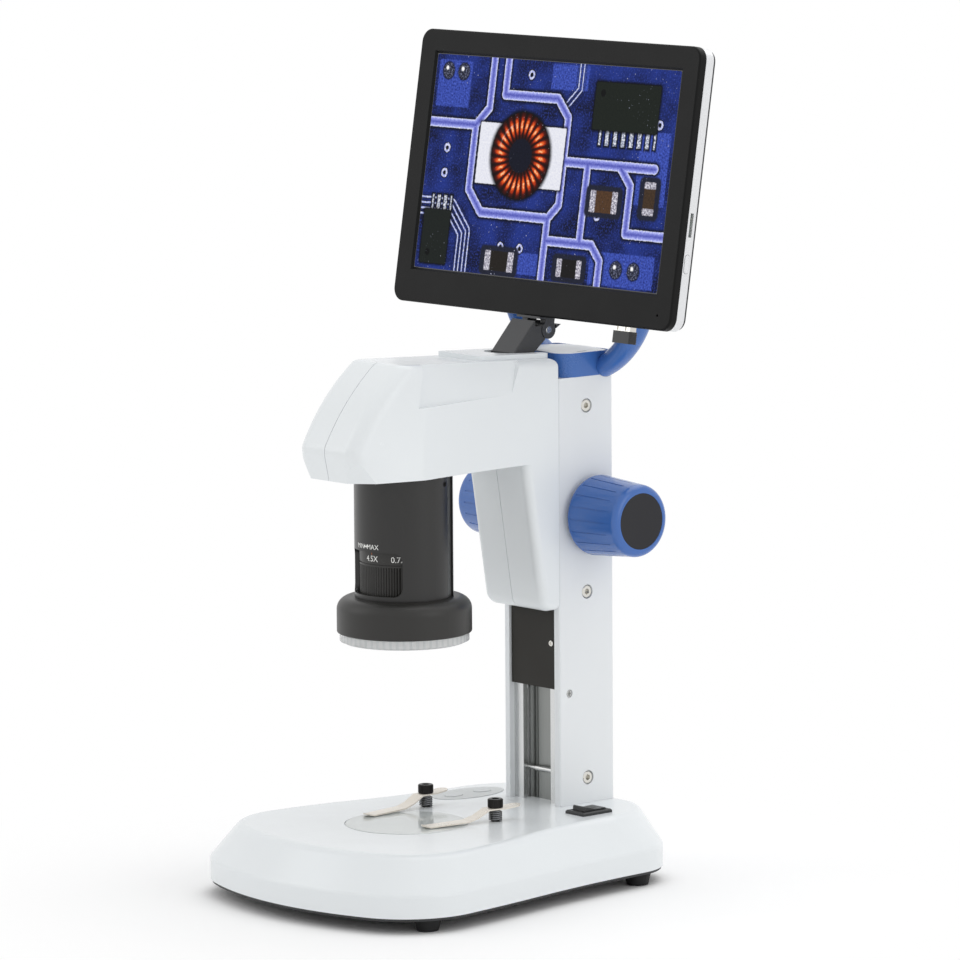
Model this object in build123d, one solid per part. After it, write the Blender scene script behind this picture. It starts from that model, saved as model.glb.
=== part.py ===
from build123d import *
from math import atan, cos, degrees, hypot, pi, radians, sin, tan
from typing import NamedTuple
import os

# An LCD digital microscope: a track stand with a zoom lens head and a tilting display.
# Frame: X to the object's right, Y to its rear, Z up, millimetres.
# Origin: on the surface it stands on, under the middle of the base.

# ---------------------------------------------------------------- base
FOOT_D = 15.0               # rubber foot, largest diameter
FOOT_H = 6.8                # rubber foot below the bottom plate
FOOT_DISH = 1.5             # radius lost at the foot's lower edge
FOOT_SCREW_DEEP = 3.8       # underside of the foot to the seat of its screw
BOTTOM_PLATE_T = 1.6        # steel bottom plate
BASE_H = 31.2               # shell, bottom edge to flat top
BASE_BAND = 12.0            # height of the upright band under the sloped flank
BASE_LENGTH = 232.5
BASE_WIDTH = 186.8          # at its widest, near the front
BASE_WALL = 3.0
BASE_TOP_WALL = 3.5
BASE_TOP_FILLET = 6.0
BASE_BAND_FILLET = 3.0
BOW_X, BOW_SET = 65.0, 12.0         # where the bowed front ends: half width, set back
WIDE_SET = 59.0                     # widest point behind the front
FLANK_X, FLANK_SET = 84.5, 119.0    # point on the flank
WAIST_X, WAIST_REAR = 75.3, 30.2    # narrow rear part, in front of the base's rear
REAR_CORNER_X = 52.0
TOP_FRONT_IN, TOP_REAR_IN = 14.0, 1.0
TOP_BOW_X, TOP_BOW_SET = 56.0, 11.0
TOP_WIDE_X, TOP_WIDE_SET = 81.0, 49.0
TOP_FLANK_X, TOP_FLANK_SET = 73.0, 105.0
TOP_WAIST_X, TOP_WAIST_REAR = 64.5, 47.5
TOP_REAR_CORNER_X = 30.0
FOOT_FRONT_X, FOOT_FRONT_SET = 80.0, 41.2
FOOT_REAR_X, FOOT_REAR_IN = 65.0, 26.8
BOSS_D = 9.0                # screw bosses over the feet
BASE_SCREW_D = 3.0
BASE_SCREW_HEAD_D, BASE_SCREW_HEAD_T = 5.6, 1.6

# ---------------------------------------------------------------- column
COLUMN_W = 46.3
COLUMN_D = 40.0
COLUMN_TOP = 277.6
COLUMN_REAR_GAP = 6.1       # base rear to column rear
COLUMN_SINK = 1.5           # side plates let into the base top
SIDE_T = 4.3                # painted side plates
REAR_T = 2.5                # painted rear cover
SIDE_EDGE_R = 1.2
RAIL_W = 7.5                # guide rail, across
RAIL_SET = 3.5              # guide rail behind the column's front
WEB_SET = 10.0              # front of the extruded web behind the column's front
WEB_T = 3.0
FLANGE_T = 3.0
RACK_SLOT_W = 10.0
TONGUE_IN, TONGUE_SET0, TONGUE_SET1 = 2.2, 6.9, 8.6     # carriage tongues in the rails
SLIDE_GAP = 0.2             # between the carriage and the rails
STOP_ROD_D = 3.0
STOP_ROD_Z = 57.1
STOP_ROD_SET = 7.2
SIDE_SCREW_D = 6.8
SIDE_SCREW_SHANK_D, SIDE_SCREW_L = 4.0, 5.0
SIDE_SOCKET_R, SIDE_SOCKET_DEEP = 1.75, 2.6
SIDE_SCREW_SET = 20.7
SIDE_SCREW_ZS = (53.7, 157.8, 261.3)
SCREW_SEAT = 1.9            # seat of the side screws' heads below the plate's face
SCREW_POCKET_GAP = 1.2      # pocket's diameter over the head's
SINK_DEEP = 0.35            # screw heads below the plate's face
LOCK_SCREW_D, LOCK_SHANK_D, LOCK_SCREW_L = 4.2, 2.4, 5.5
CROSS_W, CROSS_DEEP = 0.8, 1.2     # cross recess of the small screws
LOCK_SCREW_SET = 7.2
LOCK_SCREW_Z = 102.3
COLUMN_BOLT_D = 5.0
COLUMN_BOLT_HEAD_D, COLUMN_BOLT_HEAD_T = 8.5, 4.0
COLUMN_BLOCK_SET = 6.0      # solid block in the base under the column, behind its front
SCREW_PORT_D = 8.8
PORT_IN = 3.9               # screw ports, from the flanges' inner faces
PORT_FRONT_SET, PORT_REAR_SET = 16.6, 32.9      # screw ports behind the column's front

# ---------------------------------------------------------------- cap and carrying handle
CAP_H = 13.2
CAP_SET = 4.0               # cap front behind the column's front
CAP_OVER = 0.3              # cap proud of the side plates
CAP_CORNER_R = 9.0
CAP_LID_T = 1.6
CAP_LID_RIM = 1.2
HANDLE_SET = 35.6           # handle's middle plane behind the column's front
HANDLE_ROOT_X = 17.0
HANDLE_RING_R = 56.0        # centre line of the round part of the handle
HANDLE_RING_Z = 333.6
HANDLE_DEPTH = 15.0         # section, front to rear
HANDLE_THICK = 12.2         # section, across the ring
HANDLE_CORNER_R = 13.0

# ---------------------------------------------------------------- focus drive
FOCUS_SET = 25.1            # pinion axis behind the column's front
FOCUS_Z = 200.6
GEAR_MODULE = 1.0
PINION_TEETH = 16
GEAR_PRESSURE = 20.0
GEAR_BACKLASH = 0.16
PINION_W = 7.0
RACK_W = 8.0
RACK_Z0, RACK_Z1 = 122.6, 231.6
SHAFT_D = 6.0
SHAFT_FIT = 0.05
SHAFT_IN_KNOB = 8.0         # end of the shaft to the knob's end
BUSH_D = 10.0
BUSH_FLANGE_D = 13.0
KNOB_D = 45.0               # at its back
KNOB_END_D = 39.6           # at its tapered end
KNOB_X0, KNOB_X1 = 25.4, 63.0
KNOB_LEFT_OUT = 6.5         # the left knob stands this much further out
KNOB_RIM_R = 4.0
KNOB_BACK_R = 3.0
KNOB_HUB_D = 18.0
KNOB_DISC_D = 31.0
KNOB_DISC_T = 1.5
KNOB_FLUTES = 20
KNOB_FLUTE_W, KNOB_FLUTE_DEEP, KNOB_FLUTE_L = 0.7, 0.25, 26.0
FOCUS_DOWN = 6.0            # travel of the head below its rest

# ---------------------------------------------------------------- head
HEAD_GAP = 1.1              # head rear to column front
HEAD_WALL = 2.6
HEAD_SPLIT = 0.4            # parting line between the two shells
LEG_BOTTOM = 149.6
LEG_FOOT_SET, LEG_TOP_SET = 13.1, 25.8      # leg front at its foot and under the head
LEG_FOOT_R = 8.0
HEAD_BOTTOM = 232.7
HEAD_TOP_REAR, HEAD_TOP_FRONT = 288.9, 294.0
NOSE_TOP_SET, NOSE_SET = 110.4, 147.4
NOSE_RISE = 16.9            # foremost line of the nose above the head's bottom
NOSE_BULGE = 3.2
NOSE_FOOT_SET = 144.0
HEAD_REAR_X = 24.5
HEAD_MID_X, HEAD_MID_SET = 27.9, 61.4
HEAD_WIDE_X, HEAD_WIDE_SET = 34.0, 104.4
CHEEK_X, CHEEK_SET = 22.6, 151.4
TOP_MID_X, TOP_MID_SET = 24.4, 47.4
HEAD_TOP_X, HEAD_TOP_SET = 24.0, 93.4
TOP_CHEEK_X, TOP_CHEEK_SET = 21.6, 151.4
CHIN_X = 15.2               # half width of the nose's foot between its two cut corners
CHIN_SLOPE, CHIN_RAKE = 1.1, 0.6        # how the cut corners run back and up
PANEL_Z = 270.6             # lower edge of the sunk side panels
PANEL_FRONT, PANEL_REAR = 103.5, 35.4
PANEL_LEAN = 14.0
PANEL_X = 25.6              # lower edge of the sunk panel from the middle plane
PANEL_FRONT_LEAN, PANEL_REAR_LEAN = 7.5, 10.0   # how far the ends lean back at the top
LEG_CAVITY_RISE, LEG_EXTRA_WALL = 8.0, 0.4
NOSE_LOW_R, NOSE_TOP_R, NOSE_SIDE_R = 9.0, 5.0, 9.0
CREASE_R, LEG_EDGE_R, HEAD_REAR_R, HEAD_TOP_R = 14.0, 5.0, 3.5, 3.0
HEAD_SPAN = 100.0           # more than the head's half width

# ---------------------------------------------------------------- inside the head
CARRIAGE_Z0, CARRIAGE_Z1 = 104.6, 231.6
CARRIAGE_BOSS_X, CARRIAGE_BOSS_Z0, CARRIAGE_BOSS_Z1 = 13.0, 159.6, 225.6
CARRIAGE_FACE_SET = 1.3
CARRIAGE_SIDE_GAP = 0.6
RACK_SEAT = 1.0             # rack's back behind the tongues
FRAME_PLATE_T = 4.0
FRAME_SCREW_ZS = (169.6, 215.6)
FRAME_SCREW_D, FRAME_SCREW_DEEP = 5.0, 6.0
FRAME_SCREW_HEAD_D, FRAME_SCREW_HEAD_T = 8.5, 4.0
SHELF_Z0, SHELF_T = 239.6, 5.0
FRAME_X = 17.0
MAST_X = 9.0
ARM_FOOT_Z = 263.6
CAMERA_Z = 263.6
CAMERA_W = 38.0

# ---------------------------------------------------------------- optics
LENS_SET = 91.9             # lens axis in front of the column
TUBE_D = 53.7
TUBE_T = 2.2
TUBE_Z0 = 165.2
WINDOW_HALF = 48.0          # degrees each side of the front
WINDOW_Z0, WINDOW_Z1 = 168.0, 191.9
WINDOW_R = 5.0
BAND_Z = 184.6              # between the number band and the grip of the zoom ring
RING_FIT = 0.5
RING_RISE = 1.0             # zoom ring above the tube's lower edge
RING_COVER = 3.0            # zoom ring above the window
GRIP_RIBS = 96
DUCT_FROM, DUCT_TO, DUCT_DEEP = 112.0, 131.0, 1.1
BARREL_D = 40.0
BARREL_BORE = 32.0
BARREL_Z0 = 147.1
LIGHT_D = 73.6
LIGHT_Z0 = 145.5
LIGHT_SHOULDER_R = 7.0
LIGHT_WALL = 2.4
COVER_D = 70.7
COVER_H = 5.3
COVER_T = 1.6
LED_COUNT, LED_D, LED_RING_R = 32, 3.0, 28.5
SET_SCREW_D = 3.0
SET_SCREW_Z, SET_SCREW_ANGLE = 227.9, 105.7

# ---------------------------------------------------------------- head top and arm
TOP_PLATE_W, TOP_PLATE_L, TOP_PLATE_T = 36.0, 50.5, 2.7
TOP_PLATE_SET = 1.6
NOTCH_W, NOTCH_DEPTH = 22.0, 28.4
ARM_W = 19.0
ARM_FOOT_FRONT, ARM_FOOT_REAR = 20.0, 5.9
ARM_EDGE_R = 0.8
ARM_HEEL_RISE, ARM_SLOPE_RISE = 2.3, 3.5    # rear and front bend over the head's rear top
ARM_LIP_FRONT, ARM_LIP_RISE = 9.9, 5.8      # lip in front of and over the hinge
ARM_LIP_T = 0.6
ARM_TOP_RISE = 2.6          # arm's top over the hinge
ARM_TIP_BEHIND = 8.9        # rear tip behind the hinge
ARM_BEND_BEHIND, ARM_BEND_RISE = 6.0, 0.9
ARM_KNEE_FRONT, ARM_KNEE_DROP = 2.4, 4.8
ARM_SLOT_GAP = 3.0          # room round the arm's foot in the head's top
HINGE_BEHIND, HINGE_RISE = 5.6, 14.3    # hinge behind the column's front and over the head's rear top
HINGE_R = 4.9
HINGE_PIN_D = 4.0
KNUCKLE_W = 10.0
HINGE_SIDE_GAP = 0.3
PLATE_T, PLATE_HALF, PLATE_FRONT = 1.2, 3.4, 0.8    # bracket plate under the display

# ---------------------------------------------------------------- display
SCREEN_W, SCREEN_H = 202.0, 121.0
SCREEN_LOW = 19.3           # bottom edge of the display to the screen
BEZEL_SIDE, BEZEL_HIGH = 14.0, 13.2     # bezel beside and above the screen
DISPLAY_W = SCREEN_W + 2 * BEZEL_SIDE
DISPLAY_H = SCREEN_LOW + SCREEN_H + BEZEL_HIGH
DISPLAY_T = 12.7
DISPLAY_R = 7.5
DISPLAY_TILT = 9.2          # lean back from upright
DISPLAY_WALL = 2.4
DISPLAY_FOOT_SET = 1.9      # its lower front edge in front of the column
DISPLAY_FOOT_RISE = 22.2    # and above the head's rear top
FRAME_IN = 0.4              # silver frame inside the bezel's outline
BACK_IN = 1.0
BEZEL_T = 4.6
FRAME_T = 5.8
BEZEL_FACE_T, BEZEL_SEAT = 1.4, 2.6
LCD_OVER, LCD_T = 8.0, 3.4              # panel wider and taller than the lit screen
LAMP_DOT_IN, LAMP_DOT_Z = 10.7, 8.0
VENTS, VENT_PITCH, VENT_W, VENT_L = 13, 6.0, 2.0, 22.0
VENT_DROP = 34.0
BOARD_SIDE_GAP, BOARD_LEFT_IN = 6.0, 34.0
MAIN_Z, MAIN_H, MAIN_T = 60.0, 90.0, 1.6
MAIN_GAP = 2.4              # board behind the bezel's rear
PLUG_SHELL_W, PLUG_SHELL_T = 12.2, 4.6
PLUG_IN_SIDE, PLUG_Y, PLUG_IN, PLUG_OUT = 40.3, 5.4, 9.0, 2.4
DONGLE_W, DONGLE_T, DONGLE_H = 14.5, 5.6, 6.7
SLOT_CARD_Z, SLOT_CARD_L, SLOT_CARD_W = 58.0, 13.0, 2.2
BUTTON_Z, BUTTON_L, BUTTON_W = 37.0, 10.0, 3.4
BUTTON_FIT = 0.2
BUTTON_PROUD = 0.4
FLANGE_GROW = 0.9

# ---------------------------------------------------------------- things on and under the base top
STAGE_D, STAGE_T = 67.0, 3.0
STAGE_FIT = 0.25
STAGE_LEDGE = 4.0
LAMP_D, LAMP_T = 64.0, 1.6
LAMP_LEDS, LAMP_LED_RING = 12, 21.0
LAMP_LIFT = 12.0            # lamp board above the shell's lower edge
CLIP_X, CLIP_SET = 29.3, 52.9
CLIP_LIFT = 6.7             # strip above the base top
CLIP_W, CLIP_T = 8.0, 0.8
CLIP_TAIL, CLIP_TAIL_RISE = 15.0, 1.0
CLIP_FLAT = 5.5             # level part, each side of the screw
CLIP_KNEE, CLIP_KNEE_LIFT = 12.5, 3.0
CLIP_NECK, CLIP_NECK_LIFT = 18.5, 1.3
CLIP_REACH, CLIP_TIP_LIFT, CLIP_TIP_L, CLIP_TIP_RISE = 45.5, 0.6, 3.5, 1.0
CLIP_TURN_RIGHT, CLIP_TURN_LEFT = 12.0, 2.5     # degrees that the strips point inward at rest
CLIP_SHANK_D = 4.9
CLIP_FIT = 0.06
CLIP_BOSS_D, CLIP_BOSS_DEEP = 10.0, 9.0
CLIP_HEAD_D, CLIP_HEAD_H, CLIP_SOCKET = 8.5, 5.0, 4.0
CLIP_HEAD_RIBS = 28
SPRING_D, SPRING_WIRE, SPRING_TURNS = 7.6, 0.9, 5.0
SWITCH_X, SWITCH_SET = 46.0, -0.6
SWITCH_W, SWITCH_L, SWITCH_RIM = 15.0, 21.0, 2.0
ROCKER_W, ROCKER_L = 10.4, 15.4
ROCKER_PIN_R, ROCKER_PIN_X = 1.0, 6.0
ROCKER_AXIS_Z = 2.6         # rocker pivot below the housing's rim
ROCKER_SWING = 14.0
PAD_X, PAD_SET, PAD_W, PAD_L, PAD_T = 43.0, 10.4, 26.0, 48.0, 0.8
PAD_PROUD = 0.25
KEY_W, KEY_L, KEY_PITCH, KEY_TRAVEL = 8.0, 11.0, 21.0, 0.5
KEY_GAP = 0.3
KEY_DEEP = 4.2
SWITCH_BODY_H = 3.5
BOARD_W, BOARD_L, BOARD_T = 30.0, 56.0, 1.6
JACK_D, JACK_PIN_D, JACK_X, JACK_RISE = 6.4, 2.0, -40.0, 6.2

# ---------------------------------------------------------------- worked out from the above
BASE_Z0 = FOOT_H + BOTTOM_PLATE_T
BASE_Z1 = BASE_Z0 + BASE_H
KNOB_OVERHANG = FOCUS_SET + KNOB_D / 2 - COLUMN_D - COLUMN_REAR_GAP
FRONT_Y = -(BASE_LENGTH + KNOB_OVERHANG) / 2
REAR_Y = FRONT_Y + BASE_LENGTH
COLUMN_Y1 = REAR_Y - COLUMN_REAR_GAP
COLUMN_Y0 = COLUMN_Y1 - COLUMN_D
COLUMN_X = COLUMN_W / 2
INNER_X = COLUMN_X - SIDE_T
LENS_Y = COLUMN_Y0 - LENS_SET
FOCUS_Y = COLUMN_Y0 + FOCUS_SET
PINION_R = GEAR_MODULE * PINION_TEETH / 2
RACK_Y = FOCUS_Y - PINION_R
NOSE_Z = HEAD_BOTTOM + NOSE_RISE
TOP_SLOPE = (HEAD_TOP_FRONT - HEAD_TOP_REAR) / (NOSE_TOP_SET - HEAD_GAP)
FRAME_Y1 = COLUMN_Y0 - HEAD_GAP - HEAD_WALL - 0.3
TUBE_R = TUBE_D / 2
RING_R = TUBE_R - TUBE_T - RING_FIT
RING_Z0, RING_Z1 = TUBE_Z0 + RING_RISE, WINDOW_Z1 + RING_COVER
STAGE_Z = BASE_Z1 + STAGE_FIT
JACK_Z = BASE_Z0 + JACK_RISE
HINGE_Y, HINGE_Z = COLUMN_Y0 + HINGE_BEHIND, HEAD_TOP_REAR + HINGE_RISE
DISPLAY_FOOT_Z = HEAD_TOP_REAR + DISPLAY_FOOT_RISE
SCREEN_Z = SCREEN_LOW + SCREEN_H / 2
PLUG_X = DISPLAY_W / 2 - PLUG_IN_SIDE
EPS = 0.01


def at(set_back, z):
    """A point (Y, Z) given by how far it lies in front of the column."""
    return (COLUMN_Y0 - set_back, z)


def save(shape, name):
    export_step(shape, f"parts/{name}.step")


def mirror_x(shape):
    return mirror(shape, about=Plane.YZ)


def rod_x(radius, x0, x1, y, z):
    """A round bar along X."""
    return Pos((x0 + x1) / 2, y, z) * Rot(0, 90, 0) * Cylinder(radius, abs(x1 - x0))


def rod_z(radius, x, y, z0, z1):
    """An upright round bar."""
    return Pos(x, y, (z0 + z1) / 2) * Cylinder(radius, abs(z1 - z0))


def block(x0, x1, y0, y1, z0, z1):
    return Pos((x0 + x1) / 2, (y0 + y1) / 2, (z0 + z1) / 2) * Box(x1 - x0, y1 - y0, z1 - z0)


def side_prism(points, x0, x1):
    """A solid with a (Y, Z) outline, from x0 to x1."""
    face = make_face(Polyline([(0, y, z) for y, z in points], close=True))
    return Pos(x0, 0, 0) * extrude(face, amount=x1 - x0, dir=(1, 0, 0))


def sector(r0, r1, z0, z1, half_angle, y_axis):
    """Part of a ring around the lens axis, half_angle degrees each side of the front."""
    ring = rod_z(r1, 0, y_axis, z0, z1) - rod_z(r0, 0, y_axis, z0 - 1, z1 + 1)
    reach = 3 * r1
    a = radians(half_angle)
    tip = [(0, 0), (reach * sin(a), -reach * cos(a)), (0, -2 * reach), (-reach * sin(a), -reach * cos(a))]
    wedge = Pos(0, y_axis, z0 - 1) * extrude(make_face(Polyline(tip, close=True)), z1 - z0 + 2)
    return ring & wedge


# ================================================================ base
class Outline(NamedTuple):
    """Right half of a plan outline, front to rear, as (X, Y) points."""
    front: tuple
    bow: tuple
    wide: tuple
    flank: tuple
    waist: tuple
    rear: tuple


def band_outline():
    return Outline((0, FRONT_Y), (BOW_X, FRONT_Y + BOW_SET), (BASE_WIDTH / 2, FRONT_Y + WIDE_SET),
                   (FLANK_X, FRONT_Y + FLANK_SET), (WAIST_X, REAR_Y - WAIST_REAR), (REAR_CORNER_X, REAR_Y))


def top_outline():
    front = FRONT_Y + TOP_FRONT_IN
    return Outline((0, front), (TOP_BOW_X, front + TOP_BOW_SET), (TOP_WIDE_X, front + TOP_WIDE_SET),
                   (TOP_FLANK_X, front + TOP_FLANK_SET), (TOP_WAIST_X, REAR_Y - TOP_WAIST_REAR),
                   (TOP_REAR_CORNER_X, REAR_Y - TOP_REAR_IN))


def outline_face(outline, inset=0.0):
    """The closed plan outline as tangent arcs with a straight rear, moved inward by inset."""
    edges, tangent = [], (1, 0)
    for start, end in zip(outline, outline[1:]):
        arc = TangentArc(start, end, tangent=tangent)
        edges.append(arc)
        tangent = arc % 1
    edges.append(Line(outline.rear, (0, outline.rear[1])))
    half = Curve() + edges
    face = make_face(half + mirror_x(half))
    return offset(face, amount=-inset) if inset else face


def base_block(inset, z0, z_band, z_top):
    """Upright band and sloped flank of the base, each moved inward by inset."""
    low = outline_face(band_outline(), inset)
    high = outline_face(top_outline(), inset)
    band = Pos(0, 0, z0) * extrude(low, z_band - z0)
    return band + loft([Pos(0, 0, z_band) * low, Pos(0, 0, z_top) * high], ruled=True)


def foot_places():
    for x, y in ((FOOT_FRONT_X, FRONT_Y + FOOT_FRONT_SET), (FOOT_REAR_X, REAR_Y - FOOT_REAR_IN)):
        for side in (-1, 1):
            yield side * x, y


def column_footprint(grow, z0, z1):
    """Where the side plates and rear cover stand on the base."""
    outer = block(-COLUMN_X - grow, COLUMN_X + grow, COLUMN_Y0 - grow, COLUMN_Y1 + grow, z0, z1)
    inner = block(-INNER_X + grow, INNER_X - grow, COLUMN_Y0 - 5, COLUMN_Y1 - REAR_T - grow, z0 - 1, z1 + 1)
    return outer - inner


def oval(width, length, x, y, z0, height):
    """An upright solid with an elliptical plan."""
    return Pos(x, y, z0) * extrude(Ellipse(width / 2, length / 2), height)


def base_cover():
    body = base_block(0, BASE_Z0, BASE_Z0 + BASE_BAND, BASE_Z1)
    for z, radius in ((BASE_Z0 + BASE_BAND, BASE_BAND_FILLET), (BASE_Z1, BASE_TOP_FILLET)):
        body = fillet(body.edges().filter_by_position(Axis.Z, z - EPS, z + EPS), radius)
    body -= base_block(BASE_WALL, BASE_Z0 - 1, BASE_Z0 + BASE_BAND - BASE_WALL / 2, BASE_Z1 - BASE_TOP_WALL)
    stage_y = LENS_Y
    ledge_z = BASE_Z1 - STAGE_T
    body += rod_z(STAGE_D / 2 + STAGE_LEDGE, 0, stage_y, ledge_z - STAGE_LEDGE, BASE_Z1 - BASE_TOP_WALL / 2)
    for x, y in foot_places():
        body += rod_z(BOSS_D / 2, x, y, BASE_Z0, BASE_Z1 - BASE_TOP_WALL / 2) & base_block(
            1, BASE_Z0 - 1, BASE_Z0 + BASE_BAND, BASE_Z1 - 1)
        body -= rod_z(BASE_SCREW_D / 2, x, y, BASE_Z0 - 1, BASE_Z0 + BASE_BAND - 2)
    body -= rod_z(STAGE_D / 2 + STAGE_FIT, 0, stage_y, ledge_z, BASE_Z1 + 1)
    body -= rod_z(STAGE_D / 2 - STAGE_LEDGE, 0, stage_y, BASE_Z0, BASE_Z1)
    body -= column_footprint(0.15, BASE_Z1 - COLUMN_SINK, BASE_Z1 + 1)
    switch_y = COLUMN_Y0 - SWITCH_SET
    body -= block(SWITCH_X - SWITCH_W / 2 + 1, SWITCH_X + SWITCH_W / 2 - 1, switch_y - SWITCH_L / 2 + 1,
                  switch_y + SWITCH_L / 2 - 1, BASE_Z1 - 10, BASE_Z1 + 1)
    body -= oval(PAD_W, PAD_L, -PAD_X, COLUMN_Y0 - PAD_SET, BASE_Z1 - PAD_T, PAD_T + 1)
    for y in key_places():
        body -= oval(KEY_W + 1, KEY_L + 1, -PAD_X, y, BASE_Z1 - 10, 12)
    for x, y in clip_places():
        body += rod_z(CLIP_BOSS_D / 2, x, y, BASE_Z1 - CLIP_BOSS_DEEP, BASE_Z1 - BASE_TOP_WALL / 2)
        body -= rod_z(CLIP_SHANK_D / 2, x, y, BASE_Z1 - CLIP_BOSS_DEEP + 0.5, BASE_Z1 + 1)
    body += block(-INNER_X, INNER_X, COLUMN_Y0 + COLUMN_BLOCK_SET, REAR_Y - BASE_WALL, BASE_Z0,
                  BASE_Z1 - BASE_TOP_WALL / 2)
    for x, y in column_bolt_places():
        body -= rod_z(COLUMN_BOLT_D / 2 + 0.2, x, y, 0, BASE_Z1 + 1)
        body -= rod_z(COLUMN_BOLT_HEAD_D / 2 + 0.3, x, y, 0, BASE_Z0 + COLUMN_BOLT_HEAD_T + 1)
    z_lamp = BASE_Z0 + LAMP_LIFT + LAMP_T
    body += rod_z(LAMP_D / 2, 0, LENS_Y, z_lamp, BASE_Z1 - STAGE_T - 2) - rod_z(
        LAMP_D / 2 - 2, 0, LENS_Y, z_lamp - 1, BASE_Z1)
    body -= Pos(JACK_X, REAR_Y, JACK_Z) * Rot(90, 0, 0) * Cylinder(JACK_D / 2 + 1.2, 30)
    return body


def bottom_plate():
    plate = Pos(0, 0, FOOT_H) * extrude(outline_face(band_outline(), 1.0), BOTTOM_PLATE_T)
    for x, y in foot_places():
        plate -= rod_z(BASE_SCREW_D / 2 + 0.2, x, y, 0, 20)
    for x, y in column_bolt_places():
        plate -= rod_z(COLUMN_BOLT_HEAD_D / 2 + 0.3, x, y, 0, 20)
    return plate


def rubber_foot(x, y):
    """A dished rubber foot with a sunk screw hole."""
    r = FOOT_D / 2
    foot = Pos(x, y, 0) * loft([Circle(r - FOOT_DISH), Pos(0, 0, FOOT_H) * Circle(r)])
    foot = fillet(foot.edges().filter_by_position(Axis.Z, -EPS, EPS), 0.6)
    foot -= rod_z(BASE_SCREW_D / 2 + 0.2, x, y, -1, FOOT_H + 1)
    return foot - rod_z(BASE_SCREW_HEAD_D / 2 + 0.3, x, y, -1, FOOT_SCREW_DEEP)


def base_screw(x, y):
    """A pan-head screw up through a foot into the cover's boss."""
    z = FOOT_SCREW_DEEP
    screw = rod_z(BASE_SCREW_HEAD_D / 2, x, y, z - BASE_SCREW_HEAD_T, z)
    screw += rod_z(BASE_SCREW_D / 2 - 0.02, x, y, z, BASE_Z0 + 9)
    arm_l, arm_w = BASE_SCREW_HEAD_D * 0.6, 0.9
    cross = Box(arm_l, arm_w, 1.6) + Box(arm_w, arm_l, 1.6)
    return screw - Pos(x, y, z - BASE_SCREW_HEAD_T) * cross


def column_bolt_places():
    """Four bolts up through the bottom plate into the foot of the column."""
    port_x = INNER_X - FLANGE_T - PORT_IN
    for x in (-port_x, port_x):
        for set_back in (PORT_FRONT_SET, PORT_REAR_SET):
            yield x, COLUMN_Y0 + set_back


def column_bolt(x, y):
    z = BASE_Z0 + COLUMN_BOLT_HEAD_T + 1
    bolt = rod_z(COLUMN_BOLT_HEAD_D / 2, x, y, z - COLUMN_BOLT_HEAD_T, z)
    bolt += rod_z(COLUMN_BOLT_D / 2 - 0.02, x, y, z, BASE_Z1 + 7)
    return bolt - Pos(x, y, z - COLUMN_BOLT_HEAD_T) * extrude(RegularPolygon(2.0, 6), 2.5)


# ================================================================ stage, clips, switch and keys
def stage_plate():
    disc = rod_z(STAGE_D / 2, 0, LENS_Y, BASE_Z1 - STAGE_T, STAGE_Z)
    return chamfer(disc.edges().filter_by_position(Axis.Z, STAGE_Z - EPS, STAGE_Z + EPS), 0.4)


def lamp_board():
    """Round LED board under the stage, on the ring wall of the cover."""
    z = BASE_Z0 + LAMP_LIFT
    body = rod_z(LAMP_D / 2, 0, LENS_Y, z, z + LAMP_T)
    for i in range(LAMP_LEDS):
        a = 2 * pi * i / LAMP_LEDS
        x, y = LAMP_LED_RING * cos(a), LENS_Y + LAMP_LED_RING * sin(a)
        body += rod_z(1.6, x, y, z + LAMP_T, z + LAMP_T + 1.6)
    return body


def driver_board():
    """Lamp driver board under the two keys, with their switches, hung from the cover on posts."""
    cx, cy = -PAD_X, COLUMN_Y0 - PAD_SET
    z = BASE_Z1 - KEY_DEEP - KEY_TRAVEL - KEY_GAP - SWITCH_BODY_H - BOARD_T
    body = block(cx - BOARD_W / 2, cx + BOARD_W / 2, cy - BOARD_L / 2, cy + BOARD_L / 2, z, z + BOARD_T)
    for key_y in key_places():
        body += Pos(cx, key_y, z + BOARD_T + SWITCH_BODY_H / 2) * Box(6, 6, SWITCH_BODY_H)
    for dx in (-11, 11):
        for dy in (-25, 25):
            body += rod_z(2.0, cx + dx, cy + dy, z + BOARD_T, BASE_Z1 - BASE_TOP_WALL)
    body += rod_z(3, cx + 6, cy + 18, z - 8, z)
    return body + block(cx - 8, cx + 3, cy - 6, cy + 5, z - 4, z)


def dc_jack():
    """Barrel power inlet in the base's rear wall."""
    y1 = REAR_Y - 0.4
    y0 = y1 - 12
    side = JACK_D / 2 + 1.1
    body = Pos(JACK_X, (y0 + y1) / 2, JACK_Z) * Rot(90, 0, 0) * Cylinder(side, y1 - y0)
    body += block(JACK_X - side, JACK_X + side, y0, REAR_Y - BASE_WALL - 0.2, BASE_Z0, JACK_Z)
    body -= Pos(JACK_X, y0 + 2 + 10, JACK_Z) * Rot(90, 0, 0) * Cylinder(JACK_D / 2, 20)
    return body + Pos(JACK_X, y0 + 6, JACK_Z) * Rot(90, 0, 0) * Cylinder(JACK_PIN_D / 2, 9)


def key_places():
    middle = COLUMN_Y0 - PAD_SET
    return middle - KEY_PITCH / 2, middle + KEY_PITCH / 2


def control_pad():
    """Oval panel that the two lamp keys stand in."""
    y = COLUMN_Y0 - PAD_SET
    body = oval(PAD_W - 0.3, PAD_L - 0.3, -PAD_X, y, BASE_Z1 - PAD_T, PAD_T + PAD_PROUD)
    for key_y in key_places():
        body -= oval(KEY_W + 0.6, KEY_L + 0.6, -PAD_X, key_y, BASE_Z1 - 3, 6)
    return body


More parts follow.
